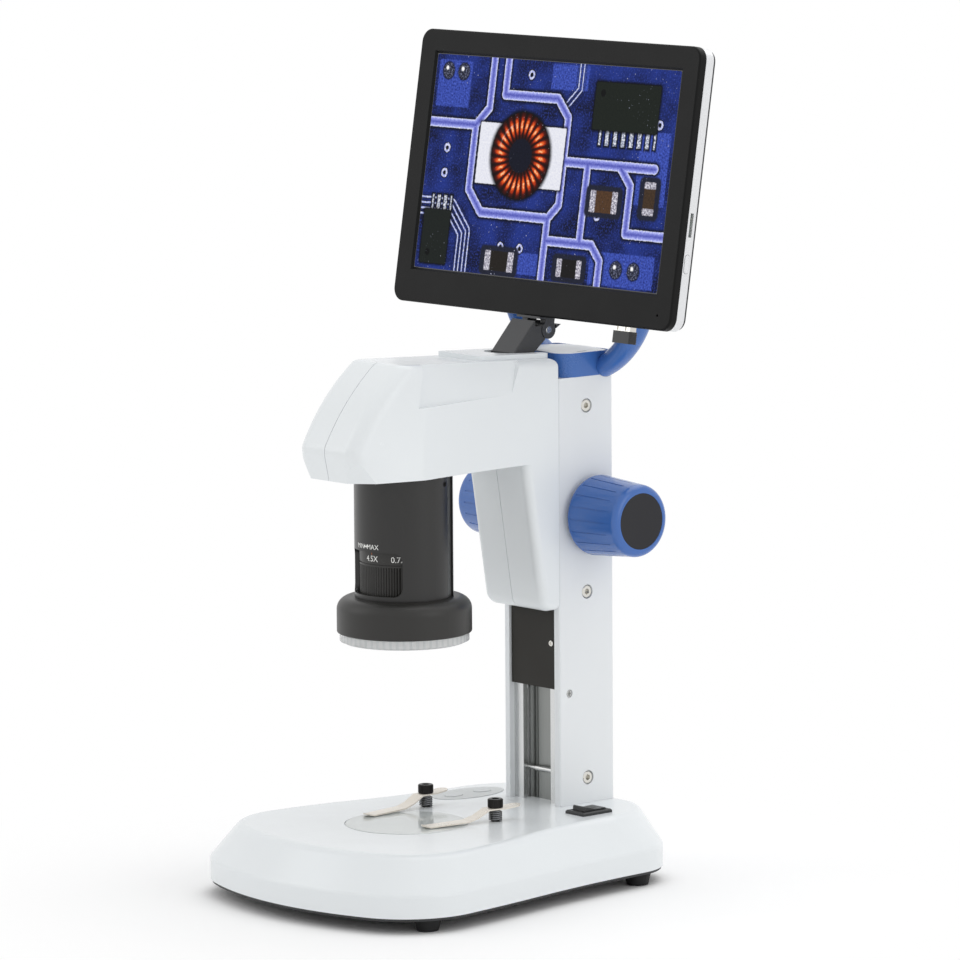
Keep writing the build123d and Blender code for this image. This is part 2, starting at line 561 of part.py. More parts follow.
def lamp_key(y):
    """One lamp key with its stem and a lip that holds it under the panel."""
    z = BASE_Z1 + PAD_PROUD
    body = oval(KEY_W, KEY_L, -PAD_X, y, BASE_Z1 - KEY_DEEP, z + 0.45 - BASE_Z1 + KEY_DEEP)
    return fillet(body.edges().filter_by_position(Axis.Z, z + 0.4, z + 0.5), 0.4)


def switch_housing():
    """Snap-in housing of the rocker switch."""
    y = COLUMN_Y0 - SWITCH_SET
    rim = Pos(SWITCH_X, y, BASE_Z1 + SWITCH_RIM / 2) * Box(SWITCH_W, SWITCH_L, SWITCH_RIM)
    rim = chamfer(rim.edges().filter_by_position(Axis.Z, BASE_Z1 + SWITCH_RIM - EPS, BASE_Z1 + 9), 0.7)
    tank = Pos(SWITCH_X, y, BASE_Z1 - 7) * Box(SWITCH_W - 2.4, SWITCH_L - 2.4, 14)
    body = rim + tank
    z = BASE_Z1 + SWITCH_RIM - ROCKER_AXIS_Z
    body -= rod_x(ROCKER_PIN_R + 0.06, SWITCH_X - ROCKER_PIN_X - 0.1, SWITCH_X + ROCKER_PIN_X + 0.1, y, z)
    return body - Pos(SWITCH_X, y, BASE_Z1 - 4 + 5) * Box(ROCKER_W + 0.6, ROCKER_L + 1.2, 20)


def rocker():
    """Two-lobed rocker on a pin; at rest its front end stands up."""
    y, z = COLUMN_Y0 - SWITCH_SET, BASE_Z1 + SWITCH_RIM - ROCKER_AXIS_Z
    half = ROCKER_L / 2 - 0.3
    lift = half * tan(radians(ROCKER_SWING / 2))
    crown = ROCKER_AXIS_Z + 0.9
    points = [(-half, 0.4), (-half, crown + lift), (0, crown - 0.2), (half, crown + lift),
              (half, 0.4), (0, -2.4)]
    body = side_prism(points, SWITCH_X - ROCKER_W / 2, SWITCH_X + ROCKER_W / 2)
    body = fillet(body.edges().filter_by(Axis.X).sort_by(Axis.Z)[-2:], 0.6)
    body += rod_x(ROCKER_PIN_R, SWITCH_X - ROCKER_PIN_X, SWITCH_X + ROCKER_PIN_X, 0, 0)
    body = Pos(0, y, z) * Rot(-ROCKER_SWING / 2, 0, 0) * body
    return body


def clip_places():
    y = COLUMN_Y0 - CLIP_SET
    return (-CLIP_X, y), (CLIP_X, y)


def clip_screw(x, y):
    """Socket-head screw with a knurled head; the strip turns under it."""
    z0 = BASE_Z1 + CLIP_LIFT + CLIP_T + 0.05
    z1 = z0 + CLIP_HEAD_H
    body = rod_z(CLIP_HEAD_D / 2, 0, 0, z0, z1)
    body = chamfer(body.edges().filter_by(GeomType.CIRCLE), 0.45)
    for i in range(CLIP_HEAD_RIBS):
        groove = Rot(0, 0, 360.0 * i / CLIP_HEAD_RIBS) * Pos(CLIP_HEAD_D / 2, 0, 0) * Box(0.5, 0.4, 20)
        body -= Pos(0, 0, z0) * groove
    body -= Pos(0, 0, z1 - 2.4) * extrude(RegularPolygon(CLIP_SOCKET / 2 / cos(radians(30)), 6), 5)
    body += rod_z(CLIP_SHANK_D / 2, 0, 0, BASE_Z1 - CLIP_BOSS_DEEP + 0.5, z0)
    return Pos(x, y, 0) * body


def clip_spring(x, y):
    """Coil spring under the strip."""
    height = CLIP_LIFT - SPRING_WIRE - 0.4
    radius = (SPRING_D - SPRING_WIRE) / 2
    path = Helix(pitch=height / SPRING_TURNS, height=height, radius=radius)
    section = Plane(origin=path @ 0, z_dir=path % 0) * Circle(SPRING_WIRE / 2)
    coil = sweep(section, path=path, is_frenet=True)
    return Pos(x, y, BASE_Z1 + SPRING_WIRE / 2 + 0.05) * coil


def clip_strip(x, y, turn):
    """Bent spring-steel strip: raised tail, bend down to the stage and a turned-up tip."""
    spine = [(CLIP_TAIL, CLIP_LIFT + CLIP_TAIL_RISE), (CLIP_FLAT, CLIP_LIFT), (-CLIP_FLAT, CLIP_LIFT),
             (-CLIP_KNEE, CLIP_KNEE_LIFT), (-CLIP_NECK, CLIP_NECK_LIFT),
             (CLIP_TIP_L - CLIP_REACH, CLIP_TIP_LIFT), (-CLIP_REACH, CLIP_TIP_LIFT + CLIP_TIP_RISE)]
    upper = [(y_, z_ + CLIP_T) for y_, z_ in spine]
    body = side_prism(spine + upper[::-1], -CLIP_W / 2, CLIP_W / 2)
    plan = Pos(0, (CLIP_TAIL - CLIP_REACH) / 2, 0) * Box(CLIP_W, CLIP_TAIL + CLIP_REACH, 40)
    plan = fillet(plan.edges().filter_by(Axis.Z), CLIP_W / 2 - 0.05)
    body = (body & plan) - rod_z(CLIP_SHANK_D / 2 + CLIP_FIT, 0, 0, -1, 30)
    return Pos(x, y, BASE_Z1) * Rot(0, 0, turn) * body


# ================================================================ column
def side_plate(side):
    """Painted plate down one side of the column."""
    z0, z1 = BASE_Z1 - COLUMN_SINK, COLUMN_TOP
    body = block(INNER_X, COLUMN_X, COLUMN_Y0, COLUMN_Y1, z0, z1)
    outer = body.edges().filter_by(Axis.Z).filter_by_position(Axis.X, COLUMN_X - EPS, COLUMN_X + EPS)
    body = fillet(outer, SIDE_EDGE_R)
    for z in SIDE_SCREW_ZS:
        body -= rod_x(SIDE_SCREW_SHANK_D / 2 + 0.1, INNER_X - 1, COLUMN_X + 1, COLUMN_Y0 + SIDE_SCREW_SET, z)
        body -= side_sink(SIDE_SCREW_D + SCREW_POCKET_GAP, COLUMN_Y0 + SIDE_SCREW_SET, z)
    body -= rod_x(LOCK_SHANK_D / 2 + 0.1, INNER_X - 1, COLUMN_X + 1, COLUMN_Y0 + LOCK_SCREW_SET, LOCK_SCREW_Z)
    body -= side_sink(LOCK_SCREW_D + 0.3, COLUMN_Y0 + LOCK_SCREW_SET, LOCK_SCREW_Z)
    body -= rod_x(BUSH_FLANGE_D / 2 + 0.2, INNER_X - 1, COLUMN_X + 1, FOCUS_Y, FOCUS_Z)
    return body if side > 0 else mirror_x(body)


def side_sink(diameter, y, z):
    """Round pocket for a screw head in the right-hand plate's outer face."""
    return rod_x(diameter / 2, COLUMN_X - SCREW_SEAT, COLUMN_X + 1, y, z)


def side_screw(diameter, shank_d, length, y, z, drive, drive_deep):
    """Screw in the right-hand plate, its head just under the plate's face."""
    x0, x1 = COLUMN_X - SCREW_SEAT, COLUMN_X - SINK_DEEP
    body = rod_x(diameter / 2, x0, x1, y, z)
    body = chamfer(body.edges().filter_by(GeomType.CIRCLE).sort_by(Axis.X)[-1], 0.3)
    body += rod_x(shank_d / 2, x0 - length, x0 + EPS, y, z)
    return body - Pos(x1 - drive_deep, y, z) * Rot(0, 90, 0) * extrude(drive, SCREW_SEAT + drive_deep)


def column_screws():
    """Three socket screws in each side plate."""
    y, socket = COLUMN_Y0 + SIDE_SCREW_SET, RegularPolygon(SIDE_SOCKET_R, 6)
    right = [side_screw(SIDE_SCREW_D, SIDE_SCREW_SHANK_D, SIDE_SCREW_L, y, z, socket, SIDE_SOCKET_DEEP)
             for z in SIDE_SCREW_ZS]
    return Compound(children=right + [mirror_x(screw) for screw in right])


def rail_screws():
    """Small cross screws through the side plates into the guide rails."""
    y, arm = COLUMN_Y0 + LOCK_SCREW_SET, LOCK_SCREW_D * 0.62
    cross = Rectangle(arm, CROSS_W) + Rectangle(CROSS_W, arm)
    screw = side_screw(LOCK_SCREW_D, LOCK_SHANK_D, LOCK_SCREW_L, y, LOCK_SCREW_Z, cross, CROSS_DEEP)
    return Compound(children=[screw, mirror_x(screw)])


def rear_cover():
    return block(-INNER_X, INNER_X, COLUMN_Y1 - REAR_T, COLUMN_Y1, BASE_Z1 - COLUMN_SINK, COLUMN_TOP)


def column_extrusion():
    """Extruded channel: a slotted web behind the rails and two flanges to the rear."""
    y0 = COLUMN_Y0 + WEB_SET
    y1 = COLUMN_Y1 - REAR_T
    z0, z1 = BASE_Z1, COLUMN_TOP
    body = block(-INNER_X, INNER_X, y0, y0 + WEB_T, z0, z1)
    for side in (-1, 1):
        inner, outer = side * (INNER_X - FLANGE_T), side * INNER_X
        body += block(min(inner, outer), max(inner, outer), y0, y1, z0, z1)
    slot_z0 = RACK_Z0 - FOCUS_DOWN - 3
    body -= block(-RACK_SLOT_W / 2, RACK_SLOT_W / 2, y0 - 1, y0 + WEB_T + 1, slot_z0, z1 + 1)
    for x in (-8.6, -6.4, 6.4, 8.6):
        body -= block(x - 0.4, x + 0.4, y0 - 1, y0 + 0.5, z0 - 1, z1 + 1)
    for x, y in column_bolt_places():
        body += rod_z(SCREW_PORT_D / 2, x, y, z0, z1)
        body -= rod_z(COLUMN_BOLT_D / 2, x, y, z0 - 1, z1 + 1)
    for z in SIDE_SCREW_ZS:
        body -= rod_x(SIDE_SCREW_SHANK_D / 2 + 0.02, -COLUMN_X, COLUMN_X, COLUMN_Y0 + SIDE_SCREW_SET, z)
    return body - rod_x(BUSH_D / 2, -COLUMN_X, COLUMN_X, FOCUS_Y, FOCUS_Z)


def guide_rail(side):
    """Brushed rail with a groove that the carriage's tongue runs in."""
    x0 = INNER_X - RAIL_W
    body = block(x0, INNER_X, COLUMN_Y0 + RAIL_SET, COLUMN_Y0 + WEB_SET, BASE_Z1, COLUMN_TOP)
    groove_x = x0 + TONGUE_IN + SLIDE_GAP
    body -= block(x0 - 1, groove_x, COLUMN_Y0 + TONGUE_SET0 - SLIDE_GAP, COLUMN_Y0 + TONGUE_SET1 + SLIDE_GAP,
                  BASE_Z1 - 1, COLUMN_TOP + 1)
    body -= rod_x(STOP_ROD_D / 2 + 0.02, x0 - 1, INNER_X - 1, COLUMN_Y0 + STOP_ROD_SET, STOP_ROD_Z)
    body -= rod_x(LOCK_SHANK_D / 2 + 0.02, x0 - 1, COLUMN_X, COLUMN_Y0 + LOCK_SCREW_SET, LOCK_SCREW_Z)
    return body if side > 0 else mirror_x(body)


def stop_rod():
    """Cross rod between the rails, below the carriage."""
    x = INNER_X - 1
    y, z = COLUMN_Y0 + STOP_ROD_SET, STOP_ROD_Z
    body = rod_x(STOP_ROD_D / 2, -x, x, y, z)
    neck = rod_x(STOP_ROD_D, -INNER_X + RAIL_W, -4.5, y, z) - rod_x(1.0, -INNER_X, 0, y, z)
    return body - neck


def column_bush(side):
    """Flanged bronze bush for the pinion shaft."""
    x0, x1 = INNER_X - FLANGE_T, COLUMN_X - 0.6
    body = rod_x(BUSH_D / 2, x0, x1, FOCUS_Y, FOCUS_Z)
    body += rod_x(BUSH_FLANGE_D / 2, INNER_X, x1, FOCUS_Y, FOCUS_Z)
    body -= rod_x(SHAFT_D / 2 + SHAFT_FIT, 0, COLUMN_X + 1, FOCUS_Y, FOCUS_Z)
    return body if side > 0 else mirror_x(body)


def cap_plan(grow, x_half, y0, y1):
    """Rounded plan of the cap on the column."""
    plan = Rectangle(2 * (x_half + grow), y1 - y0 + 2 * grow)
    plan = fillet(plan.vertices().sort_by(Axis.Y)[:2], CAP_CORNER_R)
    plan = fillet(plan.vertices().sort_by(Axis.Y)[-2:], 3.0)
    return Pos(0, (y0 + y1) / 2) * plan


def column_cap():
    """Moulded cap on the column, with a seat for its lid and sockets for the handle."""
    x, y0, y1 = COLUMN_X + CAP_OVER, COLUMN_Y0 + CAP_SET, COLUMN_Y1 + CAP_OVER
    body = Pos(0, 0, COLUMN_TOP) * extrude(cap_plan(0, x, y0, y1), CAP_H)
    lid = Pos(0, 0, COLUMN_TOP + CAP_H - CAP_LID_T) * extrude(cap_plan(-CAP_LID_RIM, x, y0, y1), 5)
    body -= lid
    body -= Pos(0, (y0 + y1) / 2, COLUMN_TOP + 3) * Box(2 * x - 12, y1 - y0 - 12, 12)
    return body - handle_bar(0.1)


def cap_lid():
    """Pale lid in the top of the cap, gently crowned, with a short slot at its right edge."""
    x, y0, y1 = COLUMN_X + CAP_OVER, COLUMN_Y0 + CAP_SET, COLUMN_Y1 + CAP_OVER
    z = COLUMN_TOP + CAP_H - CAP_LID_T
    crown_r = 260.0
    body = Pos(0, 0, z) * extrude(cap_plan(-CAP_LID_RIM - 0.15, x, y0, y1), 4)
    body &= Pos(0, (y0 + y1) / 2, z + CAP_LID_T + 0.9 - crown_r) * Sphere(crown_r)
    slot_x = x - CAP_LID_RIM - 3.2
    body -= Pos(slot_x, (y0 + y1) / 2 - 1, z + CAP_LID_T) * Box(1.6, 7.0, 3)
    return body - handle_bar(0.1)


def handle_path():
    """Centre line of the handle: a round lower part closed by a straight grip."""
    y = COLUMN_Y0 + HANDLE_SET
    ring_r, ring_z, r = HANDLE_RING_R, HANDLE_RING_Z, HANDLE_CORNER_R
    root_x = HANDLE_ROOT_X
    root_z = ring_z - (ring_r ** 2 - root_x ** 2) ** 0.5
    # The corner arc touches the ring from inside and the straight grip from below.
    gap = ring_r - r
    corner_x = (gap ** 2 - r ** 2) ** 0.5
    touch = (corner_x * ring_r / gap, ring_z - r * ring_r / gap)
    mid = hypot(touch[0] + root_x, touch[1] + root_z - 2 * ring_z)
    mid_point = ((touch[0] + root_x) * ring_r / mid, ring_z + (touch[1] + root_z - 2 * ring_z) * ring_r / mid)
    ring = ThreePointArc((root_x, y, root_z), (mid_point[0], y, mid_point[1]), (touch[0], y, touch[1]))
    corner_mid = (corner_x + r * cos(radians(35)), y, ring_z - r + r * sin(radians(35)))
    corner = ThreePointArc((touch[0], y, touch[1]), corner_mid, (corner_x, y, ring_z))
    grip = Line((corner_x, y, ring_z), (0, y, ring_z))
    return ring, corner, grip


def handle_bar(grow=0.0):
    """The handle as one oval bar; grow makes the room that it needs in the cap."""
    ring, corner, grip = handle_path()
    path = Wire([Edge(ring.wrapped), Edge(corner.wrapped), Edge(grip.wrapped)])
    start = path @ 0
    plane = Plane(origin=start, x_dir=(0, 1, 0), z_dir=path % 0)
    section = plane * Ellipse(HANDLE_DEPTH / 2 + grow, HANDLE_THICK / 2 + grow)
    half = sweep(section, path=path)
    bar = half + mirror_x(half)
    if grow:
        return bar
    x = COLUMN_X + 0.2
    return bar - block(-x, x, COLUMN_Y0, REAR_Y, COLUMN_TOP - 30, COLUMN_TOP + 0.5)


# ================================================================ focus drive
def involute_point(base_r, t, offset_angle, sign):
    """Point at roll angle t on the involute of a circle, turned by offset_angle."""
    x = base_r * (cos(t) + t * sin(t))
    y = base_r * (sin(t) - t * cos(t)) * sign
    c, s = cos(offset_angle), sin(offset_angle)
    return (x * c - y * s, x * s + y * c)


def pinion_face():
    """Spur gear outline with a tooth pointing along +X of its own plane."""
    base_r = PINION_R * cos(radians(GEAR_PRESSURE))
    tip_r = PINION_R + GEAR_MODULE
    root_r = PINION_R - 1.25 * GEAR_MODULE
    inv = tan(radians(GEAR_PRESSURE)) - radians(GEAR_PRESSURE)
    half_tooth = pi / (2 * PINION_TEETH) - GEAR_BACKLASH / (4 * PINION_R) + inv
    t_tip = ((tip_r / base_r) ** 2 - 1) ** 0.5
    steps = 5
    points = []
    for i in range(PINION_TEETH):
        a = 2 * pi * i / PINION_TEETH
        points.append((root_r * cos(a - half_tooth), root_r * sin(a - half_tooth)))
        for k in range(steps + 1):
            points.append(involute_point(base_r, t_tip * k / steps, a - half_tooth, 1))
        for k in range(steps, -1, -1):
            points.append(involute_point(base_r, t_tip * k / steps, a + half_tooth, -1))
        points.append((root_r * cos(a + half_tooth), root_r * sin(a + half_tooth)))
    return make_face(Polyline(points, close=True))


def pinion_shaft():
    """Shaft with its pinion in one piece; a pinion gap faces the rack's tooth at rest."""
    right, left = KNOB_X1 - SHAFT_IN_KNOB, KNOB_X1 + KNOB_LEFT_OUT - SHAFT_IN_KNOB
    body = rod_x(SHAFT_D / 2, -left, right, FOCUS_Y, FOCUS_Z)
    gear = Pos(0, 0, -PINION_W / 2) * extrude(pinion_face(), PINION_W)
    quarter_turn = 90.0
    gear = Pos(0, FOCUS_Y, FOCUS_Z) * Rot(0, 90, 0) * Rot(0, 0, quarter_turn) * gear
    return body + gear


def gear_rack():
    """Rack on the back of the carriage, its teeth towards the pinion."""
    pitch = pi * GEAR_MODULE
    tip_y, root_y = RACK_Y + GEAR_MODULE, RACK_Y - 1.25 * GEAR_MODULE
    back_y = COLUMN_Y0 + TONGUE_SET1 + RACK_SEAT
    slope = tan(radians(GEAR_PRESSURE))
    half = pitch / 4 - GEAR_BACKLASH / 4
    tip_half, root_half = half - slope * GEAR_MODULE, half + slope * 1.25 * GEAR_MODULE
    # A gap of the rack stands level with the pinion axis, where the pinion's tooth points.
    first = FOCUS_Z + pitch / 2 + pitch * round((RACK_Z0 + 3 - FOCUS_Z - pitch / 2) / pitch)
    count = int((RACK_Z1 - 3 - first) / pitch) + 1
    points = [(back_y, RACK_Z0), (root_y, RACK_Z0)]
    for i in range(count):
        z = first + i * pitch
        points += [(root_y, z - root_half), (tip_y, z - tip_half)]
        points += [(tip_y, z + tip_half), (root_y, z + root_half)]
    points += [(root_y, RACK_Z1), (back_y, RACK_Z1)]
    return side_prism(points, -RACK_W / 2, RACK_W / 2)


def knob_ends(side):
    """Back and end of a knob; the left one stands further out."""
    out = 0 if side > 0 else KNOB_LEFT_OUT
    return KNOB_X0 + out, KNOB_X1 + out


def focus_knob(side):
    """Tapered fluted knob with a hub towards the column and a seat for its end disc."""
    x0, x1 = knob_ends(side)
    r0, r1, length = KNOB_D / 2, KNOB_END_D / 2, x1 - x0
    body = Pos((x0 + x1) / 2, FOCUS_Y, FOCUS_Z) * Rot(0, 90, 0) * Cone(r0, r1, length)
    rims = body.edges().filter_by(GeomType.CIRCLE).sort_by(Axis.X)
    body = fillet(rims[-1], KNOB_RIM_R)
    body = fillet(body.edges().filter_by(GeomType.CIRCLE).sort_by(Axis.X)[0], KNOB_BACK_R)
    taper = atan((r0 - r1) / length)
    along = KNOB_BACK_R + 1.0 + KNOB_FLUTE_L / 2
    flute = Pos(0, 0, r0 - along * tan(taper)) * Rot(0, degrees(taper), 0) * Box(
        KNOB_FLUTE_L, KNOB_FLUTE_W, 2 * KNOB_FLUTE_DEEP)
    for i in range(KNOB_FLUTES):
        body -= Pos(x0 + along, FOCUS_Y, FOCUS_Z) * Rot(360.0 * i / KNOB_FLUTES, 0, 0) * flute
    body += rod_x(KNOB_HUB_D / 2, COLUMN_X + 0.4, x0 + 1, FOCUS_Y, FOCUS_Z)
    body -= rod_x(KNOB_DISC_D / 2, x1 - KNOB_DISC_T, x1 + 1, FOCUS_Y, FOCUS_Z)
    body -= rod_x(SHAFT_D / 2 + 0.02, 0, x1 - SHAFT_IN_KNOB + 0.2, FOCUS_Y, FOCUS_Z)
    return body if side > 0 else mirror_x(body)


def knob_disc(side):
    _, x1 = knob_ends(side)
    body = rod_x(KNOB_DISC_D / 2 - 0.05, x1 - KNOB_DISC_T, x1 + 0.1, FOCUS_Y, FOCUS_Z)
    body = chamfer(body.edges().filter_by(GeomType.CIRCLE).sort_by(Axis.X)[-1], 0.2)
    return body if side > 0 else mirror_x(body)


# ================================================================ head
def carriage():
    """Slider: a face plate over the rails, a block between them and a boss for the head."""
    y0 = COLUMN_Y0
    face_x = INNER_X - CARRIAGE_SIDE_GAP
    body = block(-face_x, face_x, y0 + CARRIAGE_FACE_SET, y0 + RAIL_SET - SLIDE_GAP, CARRIAGE_Z0, CARRIAGE_Z1)
    block_x = INNER_X - RAIL_W - SLIDE_GAP
    rear = y0 + TONGUE_SET1 + RACK_SEAT
    body += block(-block_x, block_x, y0 + CARRIAGE_FACE_SET, rear, CARRIAGE_Z0, CARRIAGE_Z1)
    tongue_x = INNER_X - RAIL_W + TONGUE_IN
    body += block(-tongue_x, tongue_x, y0 + TONGUE_SET0, y0 + TONGUE_SET1, CARRIAGE_Z0, CARRIAGE_Z1)
    body += block(-CARRIAGE_BOSS_X, CARRIAGE_BOSS_X, FRAME_Y1, y0 + RAIL_SET,
                  CARRIAGE_BOSS_Z0, CARRIAGE_BOSS_Z1)
    for z in FRAME_SCREW_ZS:
        body -= Pos(0, FRAME_Y1, z) * Rot(90, 0, 0) * Cylinder(FRAME_SCREW_D / 2, 2 * FRAME_SCREW_DEEP)
    return body


def head_profile():
    """Side outline of the head, as a face in the YZ plane."""
    rear = COLUMN_Y0 - HEAD_GAP
    dy, dz = NOSE_TOP_SET - NOSE_SET, HEAD_TOP_FRONT - NOSE_Z
    length = hypot(dy, dz)
    mid = at((NOSE_TOP_SET + NOSE_SET) / 2 + NOSE_BULGE * dz / length,
             (HEAD_TOP_FRONT + NOSE_Z) / 2 - NOSE_BULGE * dy / length)
    nose_top, nose_low = at(NOSE_TOP_SET, HEAD_TOP_FRONT), at(NOSE_SET, NOSE_Z)
    before = [(rear, HEAD_BOTTOM), (rear, HEAD_TOP_REAR), nose_top]
    after = [nose_low, at(NOSE_FOOT_SET, HEAD_BOTTOM), (rear, HEAD_BOTTOM)]
    nose = ThreePointArc((0, *nose_top), (0, *mid), (0, *nose_low))
    return make_face(Curve() + [Polyline([(0, y, z) for y, z in before]), nose,
                                Polyline([(0, y, z) for y, z in after])])


def leg_profile(rise):
    """Side outline of the leg, reaching up into the head by rise."""
    rear, top = COLUMN_Y0 - HEAD_GAP, HEAD_BOTTOM + rise
    rake = (LEG_TOP_SET - LEG_FOOT_SET) / (HEAD_BOTTOM - LEG_BOTTOM)
    points = [(rear, LEG_BOTTOM), (rear, top), at(LEG_TOP_SET + rake * rise, top),
              at(LEG_FOOT_SET, LEG_BOTTOM)]
    return make_face(Polyline([(0, y, z) for y, z in points], close=True))


def plan_face(points, z):
    """Plan outline of the head at one height, from its rear, middle, widest and front points."""
    rear_y = COLUMN_Y0 - HEAD_GAP
    (rear_x, _), (mid_x, mid_set), (wide_x, wide_set), (cheek_x, cheek_set) = points
    p0 = (rear_x, rear_y, z)
    p1 = (mid_x, COLUMN_Y0 - mid_set, z)
    p2 = (wide_x, COLUMN_Y0 - wide_set, z)
    p3 = (cheek_x, COLUMN_Y0 - cheek_set, z)
    right = ThreePointArc(p0, p1, p2)
    cheek = Line(p2, p3)
    front = Line(p3, (-cheek_x, p3[1], z))
    rear = Line((-rear_x, rear_y, z), p0)
    return make_face(Curve() + [right, cheek, front, mirror_x(cheek), mirror_x(right), rear])


def head_plans(inset):
    """Plan points of the head at its bottom and top, moved in by inset."""
    low = [(HEAD_REAR_X - inset, 0), (HEAD_MID_X - inset, HEAD_MID_SET), (HEAD_WIDE_X - inset, HEAD_WIDE_SET),
           (CHEEK_X - inset, CHEEK_SET)]
    high = [(HEAD_REAR_X - inset, 0), (TOP_MID_X - inset, TOP_MID_SET), (HEAD_TOP_X - inset, HEAD_TOP_SET),
            (TOP_CHEEK_X - inset, TOP_CHEEK_SET)]
    return low, high


def head_from(side_face, inset):
    """Solid inside both the head's plan outlines and a side outline."""
    low, high = head_plans(inset)
    body = loft([plan_face(low, HEAD_BOTTOM), plan_face(high, HEAD_TOP_FRONT + 2)], ruled=True)
    return body & Pos(-HEAD_SPAN, 0, 0) * extrude(side_face, amount=2 * HEAD_SPAN, dir=(1, 0, 0))


def leg_from(side_face, inset):
    """Solid inside the head's lower plan outline and the leg's side outline."""
    low, _ = head_plans(inset)
    body = extrude(plan_face(low, LEG_BOTTOM - 5), amount=HEAD_BOTTOM - LEG_BOTTOM + 40)
    return body & Pos(-HEAD_SPAN, 0, 0) * extrude(side_face, amount=2 * HEAD_SPAN, dir=(1, 0, 0))


def top_z(y):
    """Height of the head's sloping top at y."""
    return HEAD_TOP_REAR + TOP_SLOPE * (COLUMN_Y0 - HEAD_GAP - y)


def fillet_corner(face, corner, radius):
    """Round the corner of a side outline that is nearest to a (Y, Z) point."""
    y, z = corner
    vertex = min(face.vertices(), key=lambda v: abs(v.Y - y) + abs(v.Z - z))
    return fillet(vertex, radius)


def crown_section(y, half_width):
    """Upright section that rounds the head's long top edges."""
    far, r, z, w = HEAD_SPAN, HEAD_TOP_R, top_z(y), half_width
    side = Polyline([(far, y, LEG_BOTTOM - 5), (far, y, z - r), (w, y, z - r)])
    in_45 = r * (1 - cos(radians(45)))
    arc = ThreePointArc((w, y, z - r), (w - in_45, y, z - in_45), (w - r, y, z))
    top = Line((w - r, y, z), (r - w, y, z))
    bottom = Line((far, y, LEG_BOTTOM - 5), (-far, y, LEG_BOTTOM - 5))
    return make_face(Curve() + [side, arc, top, mirror_x(arc), mirror_x(side), bottom])


def head_crown():
    stations = [(COLUMN_Y0 + 1.0, HEAD_REAR_X + 0.1), (COLUMN_Y0 - HEAD_TOP_SET, HEAD_TOP_X + 0.7),
                (COLUMN_Y0 - NOSE_TOP_SET - 2.0, HEAD_TOP_X - 0.2),
                (COLUMN_Y0 - NOSE_SET - 12, TOP_CHEEK_X - 0.2)]
    return loft([crown_section(y, w) for y, w in stations], ruled=True)


def edges_near(shape, x, y, z):
    """Edges whose centre lies in the given ranges of |X|, Y and Z."""
    def inside(edge):
        c = edge.center()
        return x[0] <= abs(c.X) <= x[1] and y[0] <= c.Y <= y[1] and z[0] <= c.Z <= z[1]
    return ShapeList([edge for edge in shape.edges() if inside(edge)])


def leg_outer():
    """The leg with its rounded foot and front edges."""
    body = leg_from(fillet_corner(leg_profile(0), at(LEG_FOOT_SET, LEG_BOTTOM), LEG_FOOT_R), 0)
    leg_y = COLUMN_Y0 - LEG_FOOT_SET
    front = edges_near(body, (20, 30), (leg_y - 40, leg_y + LEG_FOOT_R), (LEG_BOTTOM, HEAD_BOTTOM))
    front = ShapeList([edge for edge in front if edge.bounding_box().size.Z > 1.5])
    return fillet(front, LEG_EDGE_R)


def head_outer():
    """Outer form of the head and leg with its rounded edges."""
    face = head_profile()
    face = fillet_corner(face, at(NOSE_SET, NOSE_Z), NOSE_LOW_R)
    body = head_from(face, 0)
    mid_z = (HEAD_BOTTOM + HEAD_TOP_FRONT) / 2
    crease_y = COLUMN_Y0 - HEAD_WIDE_SET + 5
    crease = edges_near(body, (27, 31), (crease_y - 4, crease_y + 4), (mid_z - 8, mid_z + 8))
    body = fillet(crease, CREASE_R)
    nose = edges_near(body, (20, 30), (FRONT_Y, COLUMN_Y0 - NOSE_TOP_SET - 8), (HEAD_BOTTOM, HEAD_TOP_FRONT))
    nose = ShapeList([edge for edge in nose if edge.bounding_box().size.Z > 1.5])
    body = fillet(nose, NOSE_SIDE_R)
    nose_y = COLUMN_Y0 - NOSE_TOP_SET
    body = fillet(edges_near(body, (0, 1), (nose_y - 1, nose_y + 1), (HEAD_TOP_FRONT - 1, 999)), NOSE_TOP_R)
    body = (body & head_crown()) - rear_corner_cut() - chin_cut(0) - mirror_x(chin_cut(0))
    return body + leg_outer()


def rear_corner_cut():
    """What rounding takes from the edge between the head's rear and its sloping top."""
    rear, r, tilt = COLUMN_Y0 - HEAD_GAP, HEAD_REAR_R, atan(TOP_SLOPE)
    y, z = rear - r, HEAD_TOP_REAR + r * TOP_SLOPE - r / cos(tilt)
    corner = block(-HEAD_SPAN, HEAD_SPAN, y + r * sin(tilt), rear + 1, z, HEAD_TOP_REAR + r)
    return corner - rod_x(r, -HEAD_SPAN - 1, HEAD_SPAN + 1, y, z)


def chin_cut(inset):
    """Slanting cut across the right lower corner of the nose, moved in by inset."""
    normal = Vector(1, -CHIN_SLOPE, -CHIN_RAKE).normalized()
    corner = Vector(CHIN_X, COLUMN_Y0 - NOSE_FOOT_SET, HEAD_BOTTOM) - normal * inset
    return Plane(origin=corner, z_dir=normal) * extrude(Rectangle(2 * HEAD_SPAN, 2 * HEAD_SPAN), HEAD_SPAN)


def head_cavity():
    """Inside of the head and leg, a wall's thickness within the outer form."""
    head = head_from(offset(head_profile(), amount=-HEAD_WALL), HEAD_WALL)
    for cut in (chin_cut(HEAD_WALL), side_panel_cut(HEAD_WALL)):
        head = head - cut - mirror_x(cut)
    leg = offset(leg_profile(LEG_CAVITY_RISE), amount=-HEAD_WALL)
    return head + leg_from(leg, HEAD_WALL + LEG_EXTRA_WALL)


